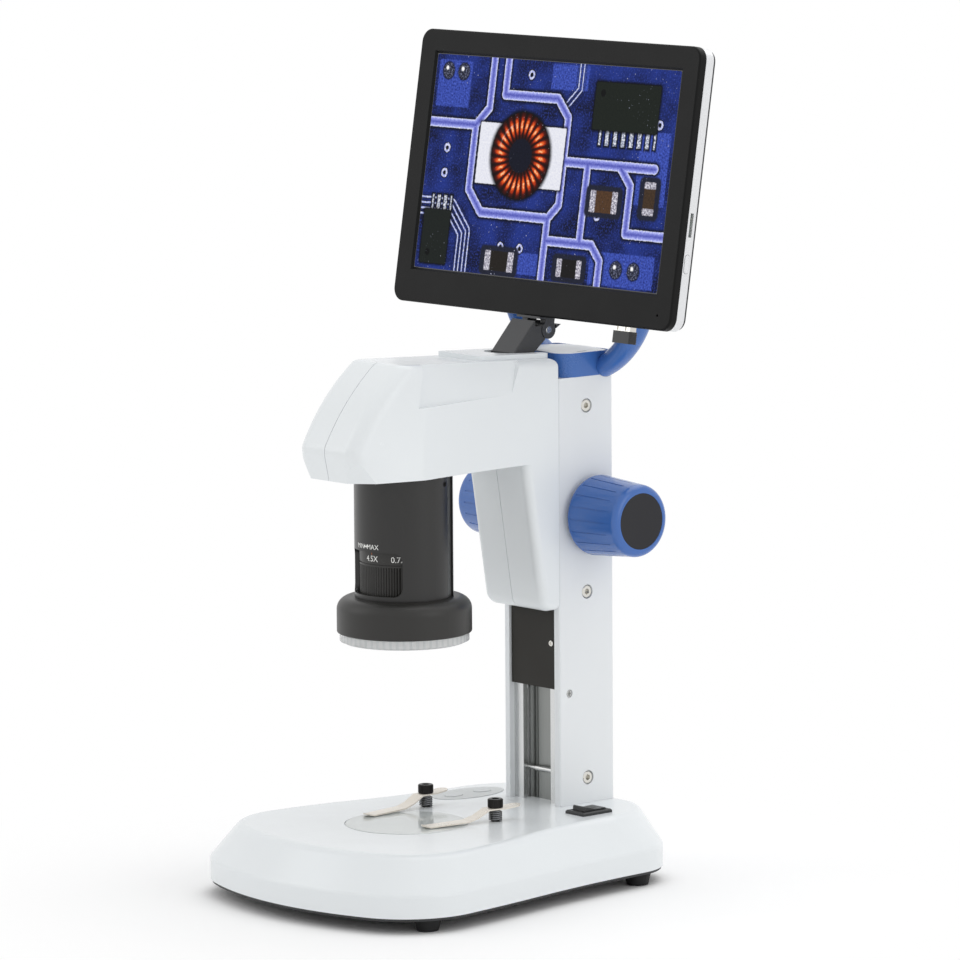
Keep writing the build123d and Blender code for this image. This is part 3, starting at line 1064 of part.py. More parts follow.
def side_panel_cut(grow):
    """Room for the shallow leaning panel in the right side of the head's top, grown all round."""
    z0, z1 = PANEL_Z - grow, HEAD_TOP_FRONT + 3
    y0, y1 = COLUMN_Y0 - PANEL_FRONT - grow, COLUMN_Y0 - PANEL_REAR + grow
    side = [(y0, z0), (y1, z0 + 2.0), (y1 + PANEL_REAR_LEAN, z1), (y0 + PANEL_FRONT_LEAN, z1)]
    cut = side_prism(side, 0, HEAD_SPAN)
    slope, foot_x = tan(radians(PANEL_LEAN)), PANEL_X - grow / cos(radians(PANEL_LEAN))
    low_x, high_x = foot_x + slope * (PANEL_Z - z0 + 30), foot_x - slope * (z1 + 1 - PANEL_Z)
    keep = Polyline([(-1, z0 - 30), (low_x, z0 - 30), (high_x, z1 + 1), (-1, z1 + 1)], close=True)
    wall = Pos(0, y1 + 40, 0) * Rot(90, 0, 0) * extrude(make_face(keep), 200)
    return cut - wall


def head_shell(side):
    """Right or left half of the head's moulded cover."""
    body = head_outer()
    cut = side_panel_cut(0)
    body = body - cut - mirror_x(cut)
    body -= head_cavity()
    body -= block(-CARRIAGE_BOSS_X - 0.4, CARRIAGE_BOSS_X + 0.4, FRAME_Y1 - 1, COLUMN_Y0,
                  CARRIAGE_BOSS_Z0 - 0.4, CARRIAGE_BOSS_Z1 + 0.4)
    body -= rod_z(TUBE_D / 2 + 0.15, 0, LENS_Y, HEAD_BOTTOM - 2, HEAD_BOTTOM + HEAD_WALL + 2)
    body -= block(-ARM_W / 2 - 0.4, ARM_W / 2 + 0.4, COLUMN_Y0 - ARM_FOOT_FRONT - ARM_SLOT_GAP,
                  COLUMN_Y0 - ARM_FOOT_REAR + ARM_SLOT_GAP, HEAD_TOP_REAR - 8, HEAD_TOP_FRONT)
    half = HEAD_SPLIT / 2
    keep = block(half, HEAD_SPAN, FRONT_Y, REAR_Y, LEG_BOTTOM - 1, HEAD_TOP_FRONT + 10)
    return body & (keep if side > 0 else mirror_x(keep))


def head_frame():
    """Alloy frame inside the head: back plate, shelf with the lens ring, and a mast for the arm."""
    y1 = FRAME_Y1
    y0 = y1 - FRAME_PLATE_T
    body = block(-FRAME_X, FRAME_X, y0, y1, CARRIAGE_BOSS_Z0 - 3, ARM_FOOT_Z)
    body += block(-FRAME_X, FRAME_X, LENS_Y, y0 + 1, SHELF_Z0, SHELF_Z0 + SHELF_T)
    body += rod_z(TUBE_R + 1.0, 0, LENS_Y, SHELF_Z0, SHELF_Z0 + SHELF_T)
    body -= rod_z(BARREL_D / 2 + 0.02, 0, LENS_Y, SHELF_Z0 - 1, SHELF_Z0 + SHELF_T + 1)
    for x in (-FRAME_X, FRAME_X - 3):
        rib = [(y0, SHELF_Z0 + SHELF_T), (y0, ARM_FOOT_Z), (y0 - 22, SHELF_Z0 + SHELF_T)]
        body += side_prism(rib, x, x + 3)
    mast_y0 = COLUMN_Y0 - ARM_FOOT_FRONT
    body += block(-MAST_X, MAST_X, mast_y0, y0 + 1, SHELF_Z0, ARM_FOOT_Z)
    for z in FRAME_SCREW_ZS:
        body -= Pos(0, y0, z) * Rot(90, 0, 0) * Cylinder(FRAME_SCREW_D / 2 + 0.1, 20)
    return body


def frame_screws():
    """Two socket screws that hold the head's frame to the carriage."""
    screws = []
    y0 = FRAME_Y1 - FRAME_PLATE_T
    for z in FRAME_SCREW_ZS:
        head = Pos(0, y0 - FRAME_SCREW_HEAD_T / 2, z) * Rot(90, 0, 0) * Cylinder(
            FRAME_SCREW_HEAD_D / 2, FRAME_SCREW_HEAD_T)
        length = FRAME_PLATE_T + FRAME_SCREW_DEEP - 0.5
        shank = Pos(0, y0 + length / 2 - EPS, z) * Rot(90, 0, 0) * Cylinder(FRAME_SCREW_D / 2 - 0.02, length)
        socket = Pos(0, y0 - FRAME_SCREW_HEAD_T, z) * Rot(-90, 0, 0) * extrude(RegularPolygon(2.3, 6), 2)
        screws.append(head + shank - socket)
    return Compound(children=screws)


def top_plate():
    """Pale plate on the head's top around the arm's foot."""
    y1 = COLUMN_Y0 - TOP_PLATE_SET
    y0 = y1 - TOP_PLATE_L
    lift = 0.02
    profile = [(y0, top_z(y0) + lift), (y1, top_z(y1) + lift), (y1, top_z(y1) + lift + TOP_PLATE_T),
               (y0, top_z(y0) + lift + TOP_PLATE_T)]
    body = side_prism(profile, -TOP_PLATE_W / 2, TOP_PLATE_W / 2)
    plan = Pos(0, (y0 + y1) / 2, top_z(y0)) * Box(TOP_PLATE_W, TOP_PLATE_L, 30)
    plan = fillet(plan.edges().filter_by(Axis.Z), 2.5)
    body &= plan
    notch_y = y1 - NOTCH_DEPTH + NOTCH_W / 2
    slot = SlotOverall(3 * NOTCH_W, NOTCH_W, rotation=90)
    return body - Pos(0, notch_y + NOTCH_W, top_z(y0)) * extrude(slot, 20, both=True)


def display_arm():
    """Raked arm from the head's frame to the display hinge."""
    front0, rear0 = COLUMN_Y0 - ARM_FOOT_FRONT, COLUMN_Y0 - ARM_FOOT_REAR
    lip_y, lip_z, top_z1 = HINGE_Y - ARM_LIP_FRONT, HINGE_Z + ARM_LIP_RISE, HINGE_Z + ARM_TOP_RISE
    slope_z = HEAD_TOP_REAR + ARM_SLOPE_RISE
    profile = [(front0, ARM_FOOT_Z), (front0, slope_z), (lip_y - ARM_LIP_T, lip_z), (lip_y, lip_z),
               (lip_y, top_z1), (HINGE_Y + ARM_TIP_BEHIND, top_z1),
               (HINGE_Y + ARM_BEND_BEHIND, HINGE_Z + ARM_BEND_RISE),
               (HINGE_Y - ARM_KNEE_FRONT, HINGE_Z - ARM_KNEE_DROP),
               (rear0, HEAD_TOP_REAR + ARM_HEEL_RISE), (rear0, ARM_FOOT_Z)]
    body = side_prism(profile, -ARM_W / 2, ARM_W / 2)
    slope = edges_near(body, (ARM_W / 2 - EPS, ARM_W / 2 + EPS), (front0, lip_y - 2), (slope_z, lip_z))
    body = fillet(slope, ARM_EDGE_R)
    ear_room = HINGE_R + 0.5
    for side in (-1, 1):
        x0, x1 = sorted((side * (KNUCKLE_W / 2), side * (ARM_W / 2 + 1)))
        body -= rod_x(ear_room, x0, x1, HINGE_Y, HINGE_Z)
        body -= block(x0, x1, HINGE_Y - ear_room, HINGE_Y + ear_room, HINGE_Z, HINGE_Z + 20)
    body += rod_x(HINGE_R, -KNUCKLE_W / 2, KNUCKLE_W / 2, HINGE_Y, HINGE_Z)
    return body - rod_x(HINGE_PIN_D / 2 + 0.05, -20, 20, HINGE_Y, HINGE_Z)


def camera_board():
    """Image sensor board over the lens barrel with its chips and plug."""
    z = CAMERA_Z
    body = Pos(0, LENS_Y, z + 0.8) * Box(CAMERA_W, CAMERA_W, 1.6)
    body += Pos(0, LENS_Y, z - 1.0) * Box(14, 12, 2.02)
    body += Pos(9, LENS_Y + 8, z + 2.2) * Box(10, 10, 1.2)
    body += Pos(-11, LENS_Y + 12, z + 3.1) * Box(12, 5, 3.0)
    return body


def lens_barrel():
    """Lens barrel through the head: a stepped tube with a seat for the camera board."""
    body = rod_z(BARREL_D / 2, 0, LENS_Y, BARREL_Z0, SHELF_Z0 + SHELF_T + 10)
    body += rod_z(BARREL_D / 2 - 4, 0, LENS_Y, SHELF_Z0 + SHELF_T + 9, CAMERA_Z)
    body -= rod_z(BARREL_BORE / 2, 0, LENS_Y, BARREL_Z0 - 1, SHELF_Z0)
    body -= rod_z(BARREL_BORE / 2 - 5, 0, LENS_Y, SHELF_Z0 - 1, CAMERA_Z + 1)
    body -= block(-7.4, 7.4, LENS_Y - 6.4, LENS_Y + 6.4, CAMERA_Z - 2.2, CAMERA_Z + 1)
    return body


def objective_lens():
    """Front lens of the barrel."""
    z = BARREL_Z0 + 3.0
    disc = rod_z(BARREL_BORE / 2 - 0.03, 0, LENS_Y, z, z + 6.0)
    ball_r = 40.0
    return disc & Pos(0, LENS_Y, z + ball_r - 0.5) * Sphere(ball_r)


def zoom_tube():
    """Fixed outer tube with the window over the zoom ring and a cable duct on its rear right."""
    z1 = SHELF_Z0
    body = rod_z(TUBE_R, 0, LENS_Y, TUBE_Z0, z1)
    body -= rod_z(TUBE_R - TUBE_T, 0, LENS_Y, TUBE_Z0 - 1, z1 - 4)
    body -= rod_z(BARREL_D / 2 + 0.02, 0, LENS_Y, z1 - 6, z1 + 1)
    window = sector(TUBE_R - TUBE_T - 1, TUBE_R + 1, WINDOW_Z0, WINDOW_Z1, WINDOW_HALF, LENS_Y)
    corners = window.edges().filter_by(lambda e: e.geom_type == GeomType.LINE and abs((e % 0).Z) < 0.1)
    window = fillet(corners, WINDOW_R)
    body -= window
    body -= duct(DUCT_DEEP, TUBE_Z0 - 1, HEAD_BOTTOM - 1)
    place = Pos(0, LENS_Y, SET_SCREW_Z) * Rot(0, 0, SET_SCREW_ANGLE) * Pos(0, 1 - TUBE_R, 0)
    return body - place * Rot(90, 0, 0) * Cylinder(SET_SCREW_D / 2, 8)


def duct(deep, z0, z1):
    """Flat-bottomed groove down the tube, between two angles from the front."""
    middle = (DUCT_FROM + DUCT_TO) / 2
    width = 2 * TUBE_R * sin(radians((DUCT_TO - DUCT_FROM) / 2))
    place = Pos(0, LENS_Y, (z0 + z1) / 2) * Rot(0, 0, middle - 90)
    return place * Pos(TUBE_R + 5 - deep, 0, 0) * Box(10, width, z1 - z0)


def zoom_ring():
    """Zoom ring on the barrel: ribbed grip below, plain number band above."""
    body = rod_z(RING_R, 0, LENS_Y, RING_Z0, RING_Z1)
    groove = rod_z(RING_R + 1, 0, LENS_Y, BAND_Z, BAND_Z + 0.6)
    body -= groove - rod_z(RING_R - 0.5, 0, LENS_Y, BAND_Z - 1, BAND_Z + 2)
    for i in range(GRIP_RIBS):
        place = Pos(0, LENS_Y, (RING_Z0 + BAND_Z) / 2) * Rot(0, 0, 360.0 * i / GRIP_RIBS)
        body -= place * Pos(RING_R, 0, 0) * Rot(0, 0, 45) * Box(0.8, 0.8, BAND_Z - RING_Z0 - 2)
    return body - rod_z(BARREL_D / 2 + 0.05, 0, LENS_Y, RING_Z0 - 1, RING_Z1 + 1)


def ring_light_housing():
    """Housing of the ring light: rounded shoulder, open below."""
    z1 = TUBE_Z0 - 0.05
    body = rod_z(LIGHT_D / 2, 0, LENS_Y, LIGHT_Z0, z1)
    rim = body.edges().filter_by_position(Axis.Z, z1 - EPS, z1 + EPS)
    body = fillet(rim, LIGHT_SHOULDER_R)
    lip = body.edges().filter_by_position(Axis.Z, LIGHT_Z0 - EPS, LIGHT_Z0 + EPS)
    body = fillet(lip, 1.0)
    inner_r = LIGHT_D / 2 - LIGHT_WALL
    body -= rod_z(inner_r, 0, LENS_Y, LIGHT_Z0 - 1, LIGHT_Z0 + 8)
    body -= rod_z(inner_r - 6, 0, LENS_Y, LIGHT_Z0 + 7, z1 - 4)
    return body - rod_z(BARREL_D / 2 + 0.05, 0, LENS_Y, LIGHT_Z0, z1 + 1)


def led_board():
    """Annular board with a ring of LEDs facing down."""
    z = LIGHT_Z0 + 6.4
    body = rod_z(LIGHT_D / 2 - LIGHT_WALL - 0.1, 0, LENS_Y, z, z + 1.6)
    body -= rod_z(BARREL_D / 2 + 0.6, 0, LENS_Y, z - 1, z + 3)
    for i in range(LED_COUNT):
        a = 2 * pi * i / LED_COUNT
        body += rod_z(LED_D / 2, LED_RING_R * cos(a), LENS_Y + LED_RING_R * sin(a), z - 3.2, z)
    return body


def light_cover():
    """Clear cover over the LEDs, open in the middle."""
    z0, z1 = LIGHT_Z0 - COVER_H, LIGHT_Z0 + 1.5
    r = COVER_D / 2
    hole = BARREL_D / 2 + 1.0
    body = rod_z(r - 2.2, 0, LENS_Y, z0, z1) + rod_z(r, 0, LENS_Y, z0 + 1.0, LIGHT_Z0 - 0.1)
    body -= rod_z(r - 2.2 - COVER_T, 0, LENS_Y, z0 + COVER_T, z1 + 1)
    body += rod_z(hole + COVER_T, 0, LENS_Y, z0, z1)
    return body - rod_z(hole, 0, LENS_Y, z0 - 1, z1 + 1)


# ================================================================ display
def in_display(shape):
    """From the display's own frame (X right, Y to the rear, Z up its face) to the object's."""
    return Pos(0, COLUMN_Y0 - DISPLAY_FOOT_SET, DISPLAY_FOOT_Z) * Rot(-DISPLAY_TILT, 0, 0) * shape


def display_slab(y0, y1, inset, radius):
    """Rounded upright slab in the display's own frame."""
    plan = RectangleRounded(DISPLAY_W - 2 * inset, DISPLAY_H - 2 * inset, radius)
    return Pos(0, y1, DISPLAY_H / 2) * Rot(90, 0, 0) * extrude(plan, y1 - y0)


def display_bezel():
    """Black front of the display around the screen."""
    body = display_slab(0, BEZEL_T, 0, DISPLAY_R)
    front = body.edges().filter_by_position(Axis.Y, -EPS, EPS)
    body = fillet(front, 1.2)
    body -= display_slab(BEZEL_SEAT, BEZEL_T + 1, DISPLAY_WALL, DISPLAY_R - DISPLAY_WALL)
    opening = Pos(0, 0, SCREEN_Z) * Box(SCREEN_W, 20, SCREEN_H)
    body -= opening
    flare = loft([Pos(0, -EPS, SCREEN_Z) * Rot(90, 0, 0) * Rectangle(SCREEN_W + 2.4, SCREEN_H + 2.4),
                  Pos(0, BEZEL_FACE_T - 0.2, SCREEN_Z) * Rot(90, 0, 0) * Rectangle(SCREEN_W, SCREEN_H)])
    body -= flare
    body -= Pos(DISPLAY_W / 2 - LAMP_DOT_IN, 0, LAMP_DOT_Z) * Rot(90, 0, 0) * Cylinder(0.7, 2.0)
    body -= plug_space(0.25)
    return in_display(body)


def plug_space(grow):
    """Room for the plug in the display's underside."""
    w, t = PLUG_SHELL_W / 2 + grow, PLUG_SHELL_T / 2 + grow
    return block(PLUG_X - w, PLUG_X + w, PLUG_Y - t, PLUG_Y + t, -1, PLUG_IN)


def display_frame():
    """Silver frame round the display's edge with the card slot and the key's hole."""
    y0, y1 = BEZEL_T, BEZEL_T + FRAME_T
    body = display_slab(y0, y1, FRAME_IN, DISPLAY_R - FRAME_IN)
    body -= display_slab(y0 - 1, y1 + 1, FRAME_IN + DISPLAY_WALL, DISPLAY_R - FRAME_IN - DISPLAY_WALL)
    mid = (y0 + y1) / 2
    x = DISPLAY_W / 2
    body -= Pos(x, mid, SLOT_CARD_Z) * Box(12, SLOT_CARD_W, SLOT_CARD_L)
    key_hole = SlotOverall(BUTTON_L + 2 * BUTTON_FIT, BUTTON_W + 2 * BUTTON_FIT)
    body -= Pos(x, mid, BUTTON_Z) * Rot(0, 90, 0) * extrude(key_hole, 6, both=True)
    return in_display(body - plug_space(0.25))


def display_back():
    """Rear cover with cooling slots."""
    y0, y1 = BEZEL_T + FRAME_T, DISPLAY_T
    body = display_slab(y0, y1, BACK_IN, DISPLAY_R - BACK_IN)
    rear = body.edges().filter_by_position(Axis.Y, y1 - EPS, y1 + EPS)
    body = fillet(rear, 1.2)
    for i in range(VENTS):
        x = (i - (VENTS - 1) / 2) * VENT_PITCH
        body -= Pos(x, y1, DISPLAY_H - VENT_DROP) * Box(VENT_W, 20, VENT_L)
    return in_display(body)


def lcd_panel():
    """Screen module behind the bezel with its glass standing in the opening."""
    y0 = BEZEL_SEAT + 0.1
    body = Pos(0, y0 + LCD_T / 2, SCREEN_Z) * Box(SCREEN_W + LCD_OVER, LCD_T, SCREEN_H + LCD_OVER)
    glass = block(-SCREEN_W / 2 + 0.2, SCREEN_W / 2 - 0.2, BEZEL_FACE_T - 0.2, y0 + 1,
                  SCREEN_Z - SCREEN_H / 2 + 0.2, SCREEN_Z + SCREEN_H / 2 - 0.2)
    return in_display(body + glass)


def display_board():
    """Main circuit board behind the screen with its chips, card socket and plug port."""
    y, z = BEZEL_T + MAIN_GAP, MAIN_Z
    x1, x0 = DISPLAY_W / 2 - BOARD_SIDE_GAP, BOARD_LEFT_IN - DISPLAY_W / 2
    body = block(x0, x1, y, y + MAIN_T, z - MAIN_H / 2, z + MAIN_H / 2)
    body += Pos(10, y + 2.2, z + 12) * Box(18, 1.22, 18)
    body += Pos(-22, y + 2.2, z + 12) * Box(12, 1.22, 14)
    body += Pos(-40, y + 2.4, z - 20) * Box(24, 1.62, 8)
    return in_display(body + card_socket() + plug_port())


def card_socket():
    """Card socket behind the slot in the display's right side, in the display's own frame."""
    mid = BEZEL_T + FRAME_T / 2
    x1 = DISPLAY_W / 2 - FRAME_IN - DISPLAY_WALL - 0.1
    body = block(x1 - 16, x1, mid - 0.2, mid + 2.4, SLOT_CARD_Z - 8, SLOT_CARD_Z + 8)
    return body - block(x1 - 13, x1 + 1, mid + 0.5, mid + 2.0, SLOT_CARD_Z - 6.5, SLOT_CARD_Z + 6.5)


def plug_port():
    """Port that holds the dongle's plug, with its leg up to the board."""
    w, t = PLUG_SHELL_W / 2, PLUG_SHELL_T / 2
    body = block(PLUG_X - w - 0.8, PLUG_X + w + 0.8, PLUG_Y - t - 0.2, PLUG_Y + t + 0.8, DISPLAY_WALL + 0.6,
                 PLUG_IN + 3)
    body += block(PLUG_X - w, PLUG_X + w, PLUG_Y + t - 0.2, PLUG_Y + t + 0.8, PLUG_IN,
                  MAIN_Z - MAIN_H / 2 + 2)
    return body - block(PLUG_X - w - 0.1, PLUG_X + w + 0.1, PLUG_Y - t - 0.1, PLUG_Y + t + 0.1, 0, PLUG_IN)


def display_button():
    """Oval key in the display's right side with a flange that keeps it in."""
    mid = BEZEL_T + FRAME_T / 2
    x_wall = DISPLAY_W / 2 - FRAME_IN
    turn = Pos(0, mid, BUTTON_Z) * Rot(0, 90, 0)
    cap = Pos(x_wall - DISPLAY_WALL - 0.4, 0, 0) * turn * extrude(
        SlotOverall(BUTTON_L, BUTTON_W), DISPLAY_WALL + 0.4 + BUTTON_PROUD)
    cap = fillet(cap.edges().sort_by(Axis.X)[-4:], 0.4)
    flange = Pos(x_wall - DISPLAY_WALL - 1.2, 0, 0) * turn * extrude(
        SlotOverall(BUTTON_L + 2 * FLANGE_GROW, BUTTON_W + 2 * FLANGE_GROW), 1.1)
    stem = Pos(x_wall - DISPLAY_WALL - 2.6, 0, 0) * turn * extrude(Circle(1.2), 2)
    return in_display(cap + flange + stem)


def hinge_bracket():
    """Two ears under the display, either side of the arm's knuckle, on a short plate."""
    x0, x1 = KNUCKLE_W / 2 + HINGE_SIDE_GAP, ARM_W / 2
    y, z = hinge_in_display()
    body = block(-x1, x1, y - PLATE_HALF, y + PLATE_HALF, -PLATE_T, 0)
    body += block(-x1, x1, PLATE_FRONT, y, -PLATE_T, 0)
    for side in (-1, 1):
        ear_x0, ear_x1 = sorted((side * x0, side * x1))
        body += rod_x(HINGE_R, ear_x0, ear_x1, y, z)
        body += block(ear_x0, ear_x1, y - PLATE_HALF, y + PLATE_HALF, z, 0)
    return in_display(body - rod_x(HINGE_PIN_D / 2, -20, 20, y, z))


def hinge_in_display():
    """The hinge axis as (Y, Z) in the display's own frame."""
    a = radians(DISPLAY_TILT)
    dy, dz = HINGE_Y - COLUMN_Y0 + DISPLAY_FOOT_SET, HINGE_Z - DISPLAY_FOOT_Z
    return dy * cos(a) - dz * sin(a), dy * sin(a) + dz * cos(a)


def hinge_pin():
    y, z = hinge_in_display()
    x = ARM_W / 2 + 0.3
    body = rod_x(HINGE_PIN_D / 2, -x, x, y, z)
    return in_display(chamfer(body.edges().filter_by(GeomType.CIRCLE), 0.3))


def plug_shell():
    """Metal plug of the wireless dongle with its two square windows."""
    w, t = PLUG_SHELL_W / 2, PLUG_SHELL_T / 2
    body = block(PLUG_X - w, PLUG_X + w, PLUG_Y - t, PLUG_Y + t, -PLUG_OUT, PLUG_IN - 0.5)
    for x in (-3.2, 3.2):
        body -= block(PLUG_X + x - 1.1, PLUG_X + x + 1.1, PLUG_Y - t - 1, PLUG_Y - t + 0.5, -2.0, 0.2)
    return in_display(body)


def dongle():
    """Ribbed body of the wireless dongle under the display."""
    z1 = -PLUG_OUT
    body = block(PLUG_X - DONGLE_W / 2, PLUG_X + DONGLE_W / 2, PLUG_Y - DONGLE_T / 2, PLUG_Y + DONGLE_T / 2,
                 z1 - DONGLE_H, z1)
    body = fillet(body.edges().filter_by(Axis.Z), 1.2)
    for i in range(4):
        z = z1 - 1.6 - i * 1.2
        for x in (-1, 1):
            side = PLUG_X + x * DONGLE_W / 2
            body -= block(side - 0.35, side + 0.35, PLUG_Y - 4, PLUG_Y + 4, z - 0.3, z + 0.3)
    return in_display(body)


# ================================================================ the whole object
def root_parts():
    yield "base_cover", base_cover()
    yield "bottom_plate", bottom_plate()
    yield "rubber_feet", Compound(children=[rubber_foot(x, y) for x, y in foot_places()])
    yield "base_screws", Compound(children=[base_screw(x, y) for x, y in foot_places()])
    yield "column_bolts", Compound(children=[column_bolt(x, y) for x, y in column_bolt_places()])
    yield "stage_plate", stage_plate()
    yield "lamp_board", lamp_board()
    yield "driver_board", driver_board()
    yield "dc_jack", dc_jack()
    yield "control_pad", control_pad()
    yield "switch_housing", switch_housing()
    yield "clip_screws", Compound(children=[clip_screw(x, y) for x, y in clip_places()])
    yield "clip_springs", Compound(children=[clip_spring(x, y) for x, y in clip_places()])
    yield "side_plate_right", side_plate(1)
    yield "side_plate_left", side_plate(-1)
    yield "rear_cover", rear_cover()
    yield "column_extrusion", column_extrusion()
    yield "guide_rails", Compound(children=[guide_rail(1), guide_rail(-1)])
    yield "column_screws", column_screws()
    yield "rail_screws", rail_screws()
    yield "stop_rod", stop_rod()
    yield "pinion_bushes", Compound(children=[column_bush(1), column_bush(-1)])
    yield "column_cap", column_cap()
    yield "cap_lid", cap_lid()
    yield "carry_handle", handle_bar()


def moving_parts():
    yield "carriage", carriage()
    yield "gear_rack", gear_rack()
    yield "head_frame", head_frame()
    yield "frame_screws", frame_screws()
    yield "head_shell_right", head_shell(1)
    yield "head_shell_left", head_shell(-1)
    yield "top_plate", top_plate()
    yield "display_arm", display_arm()
    yield "camera_board", camera_board()
    yield "lens_barrel", lens_barrel()
    yield "objective_lens", objective_lens()
    yield "zoom_tube", zoom_tube()
    yield "ring_light_housing", ring_light_housing()
    yield "ring_light_board", led_board()
    yield "ring_light_cover", light_cover()
    yield "zoom_ring", zoom_ring()
    yield "pinion_shaft", pinion_shaft()
    yield "focus_knob_right", focus_knob(1)
    yield "focus_knob_left", focus_knob(-1)
    yield "knob_discs", Compound(children=[knob_disc(1), knob_disc(-1)])
    right, left = clip_places()[1], clip_places()[0]
    yield "stage_clip_right", clip_strip(*right, -CLIP_TURN_RIGHT)
    yield "stage_clip_left", clip_strip(*left, CLIP_TURN_LEFT)
    yield "power_rocker", rocker()
    front_key, rear_key = key_places()
    yield "lamp_key_front", lamp_key(front_key)
    yield "lamp_key_rear", lamp_key(rear_key)


def display_parts():
    yield "display_bezel", display_bezel()
    yield "display_frame", display_frame()
    yield "display_back", display_back()
    yield "lcd_panel", lcd_panel()
    yield "display_board", display_board()
    yield "display_key", display_button()
    yield "hinge_bracket", hinge_bracket()
    yield "hinge_pin", hinge_pin()
    yield "dongle_plug", plug_shell()
    yield "dongle", dongle()


if __name__ == "__main__":
    os.makedirs("parts", exist_ok=True)
    for group in (root_parts, moving_parts, display_parts):
        for name, shape in group():
            save(shape, name)
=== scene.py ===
from math import cos, pi, radians, sin

import bmesh
import bpy
from mathutils import Matrix, Vector


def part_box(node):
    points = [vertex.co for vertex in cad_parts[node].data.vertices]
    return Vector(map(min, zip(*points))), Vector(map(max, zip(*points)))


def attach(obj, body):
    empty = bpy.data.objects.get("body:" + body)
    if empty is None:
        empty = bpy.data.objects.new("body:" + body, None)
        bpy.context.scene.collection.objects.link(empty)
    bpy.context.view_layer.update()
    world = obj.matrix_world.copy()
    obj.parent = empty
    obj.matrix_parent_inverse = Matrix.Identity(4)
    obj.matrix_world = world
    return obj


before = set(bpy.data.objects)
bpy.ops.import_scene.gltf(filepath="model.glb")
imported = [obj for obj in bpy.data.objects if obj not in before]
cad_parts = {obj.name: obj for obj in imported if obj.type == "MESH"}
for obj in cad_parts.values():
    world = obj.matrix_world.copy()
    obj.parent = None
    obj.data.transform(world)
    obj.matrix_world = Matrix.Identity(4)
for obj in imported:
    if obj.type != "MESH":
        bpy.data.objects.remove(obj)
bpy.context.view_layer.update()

# The looks of an LCD digital microscope. Metres, in the part's frame:
# X to the object's right, Y to its rear, Z up from the floor.

MM = 0.001


# ================================================================ places read from the frame
def middle(node):
    low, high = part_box(node)
    return (low + high) / 2


def radius_of(node):
    """Half the width of a round upright node."""
    low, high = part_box(node)
    return (high.x - low.x) / 2


LENS_AXIS = middle("zoom_tube")
COLUMN_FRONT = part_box("side_plate_right")[0].y

# ================================================================ display
DISPLAY_TILT = 9.2                  # degrees back from upright
DISPLAY_FOOT = Vector((0, 67.5, 311.1)) * MM
DISPLAY = Matrix.Translation(DISPLAY_FOOT) @ Matrix.Rotation(radians(-DISPLAY_TILT), 4, "X")
SCREEN_MIDDLE_Z = 79.8              # up the display's face, mm
SCREEN_W, SCREEN_H = 202.0, 121.0   # mm
GLASS_Y = 1.2                       # the screen's glass behind the bezel's front, mm


# ================================================================ node graphs
def colour(code):
    """Linear RGBA of an sRGB hex code."""
    parts = [int(code[i:i + 2], 16) / 255 for i in (0, 2, 4)]
    return (*[c / 12.92 if c <= 0.04045 else ((c + 0.055) / 1.055) ** 2.4 for c in parts], 1.0)


class Graph:
    """One node material, built in short calls: values or output sockets go in, output sockets come back."""

    def __init__(self, name):
        self.material = bpy.data.materials.new(name)
        self.material.use_nodes = True
        self.tree = self.material.node_tree
        self.shader = self.tree.nodes["Principled BSDF"]

    def put(self, socket, value):
        if isinstance(value, bpy.types.NodeSocket):
            self.tree.links.new(value, socket)
        else:
            socket.default_value = value

    def add(self, kind, out=0, settings=(), **inputs):
        node = self.tree.nodes.new("ShaderNode" + kind)
        for key, value in dict(settings).items():
            setattr(node, key, value)
        for key, value in inputs.items():
            self.put(node.inputs[key.replace("_", " ")], value)
        return node.outputs[out]

    def math(self, operation, *values, clamp=False):
        node = self.tree.nodes.new("ShaderNodeMath")
        node.operation, node.use_clamp = operation, clamp
        for socket, value in zip(node.inputs, values):
            self.put(socket, value)
        return node.outputs[0]

    def vector(self, operation, *values):
        node = self.tree.nodes.new("ShaderNodeVectorMath")
        node.operation = operation
        for socket, value in zip(node.inputs, values):
            self.put(socket, value)
        return node.outputs["Value" if operation in ("LENGTH", "DOT_PRODUCT") else "Vector"]

    def scaled(self, vector, factor):
        node = self.tree.nodes.new("ShaderNodeVectorMath")
        node.operation = "SCALE"
        self.put(node.inputs[0], vector)
        self.put(node.inputs["Scale"], factor)
        return node.outputs["Vector"]

    def mix(self, factor, first, second):
        node = self.tree.nodes.new("ShaderNodeMix")
        node.data_type = "RGBA"
        for index, value in ((0, factor), (6, first), (7, second)):
            self.put(node.inputs[index], value)
        return node.outputs[2]

    def remap(self, value, low, high, to_low=0.0, to_high=1.0, smooth=False):
        kind = "SMOOTHSTEP" if smooth else "LINEAR"
        return self.add("MapRange", settings={"interpolation_type": kind}, Value=value,
                        From_Min=low, From_Max=high, To_Min=to_low, To_Max=to_high)

    def ramp(self, factor, stops):
        node = self.tree.nodes.new("ShaderNodeValToRGB")
        elements = node.color_ramp.elements
        while len(elements) < len(stops):
            elements.new(0.5)
        for element, (place, code) in zip(elements, stops):
            element.position, element.color = place, colour(code)
        self.put(node.inputs[0], factor)
        return node.outputs[0]

    def place(self, stretch=(1, 1, 1)):
        """Object coordinates, squeezed along each axis by stretch."""
        return self.vector("MULTIPLY", self.add("TexCoord", out="Object"), stretch)

    def noise(self, scale, detail=2.0, stretch=(1, 1, 1)):
        return self.add("TexNoise", out="Fac", Vector=self.place(stretch), Scale=scale, Detail=detail)

    def bump(self, height, distance):
        return self.add("Bump", Height=height, Distance=distance, Strength=1.0)

    def shade(self, **inputs):
        for key, value in inputs.items():
            self.put(self.shader.inputs[key.replace("_", " ")], value)
        return self.material


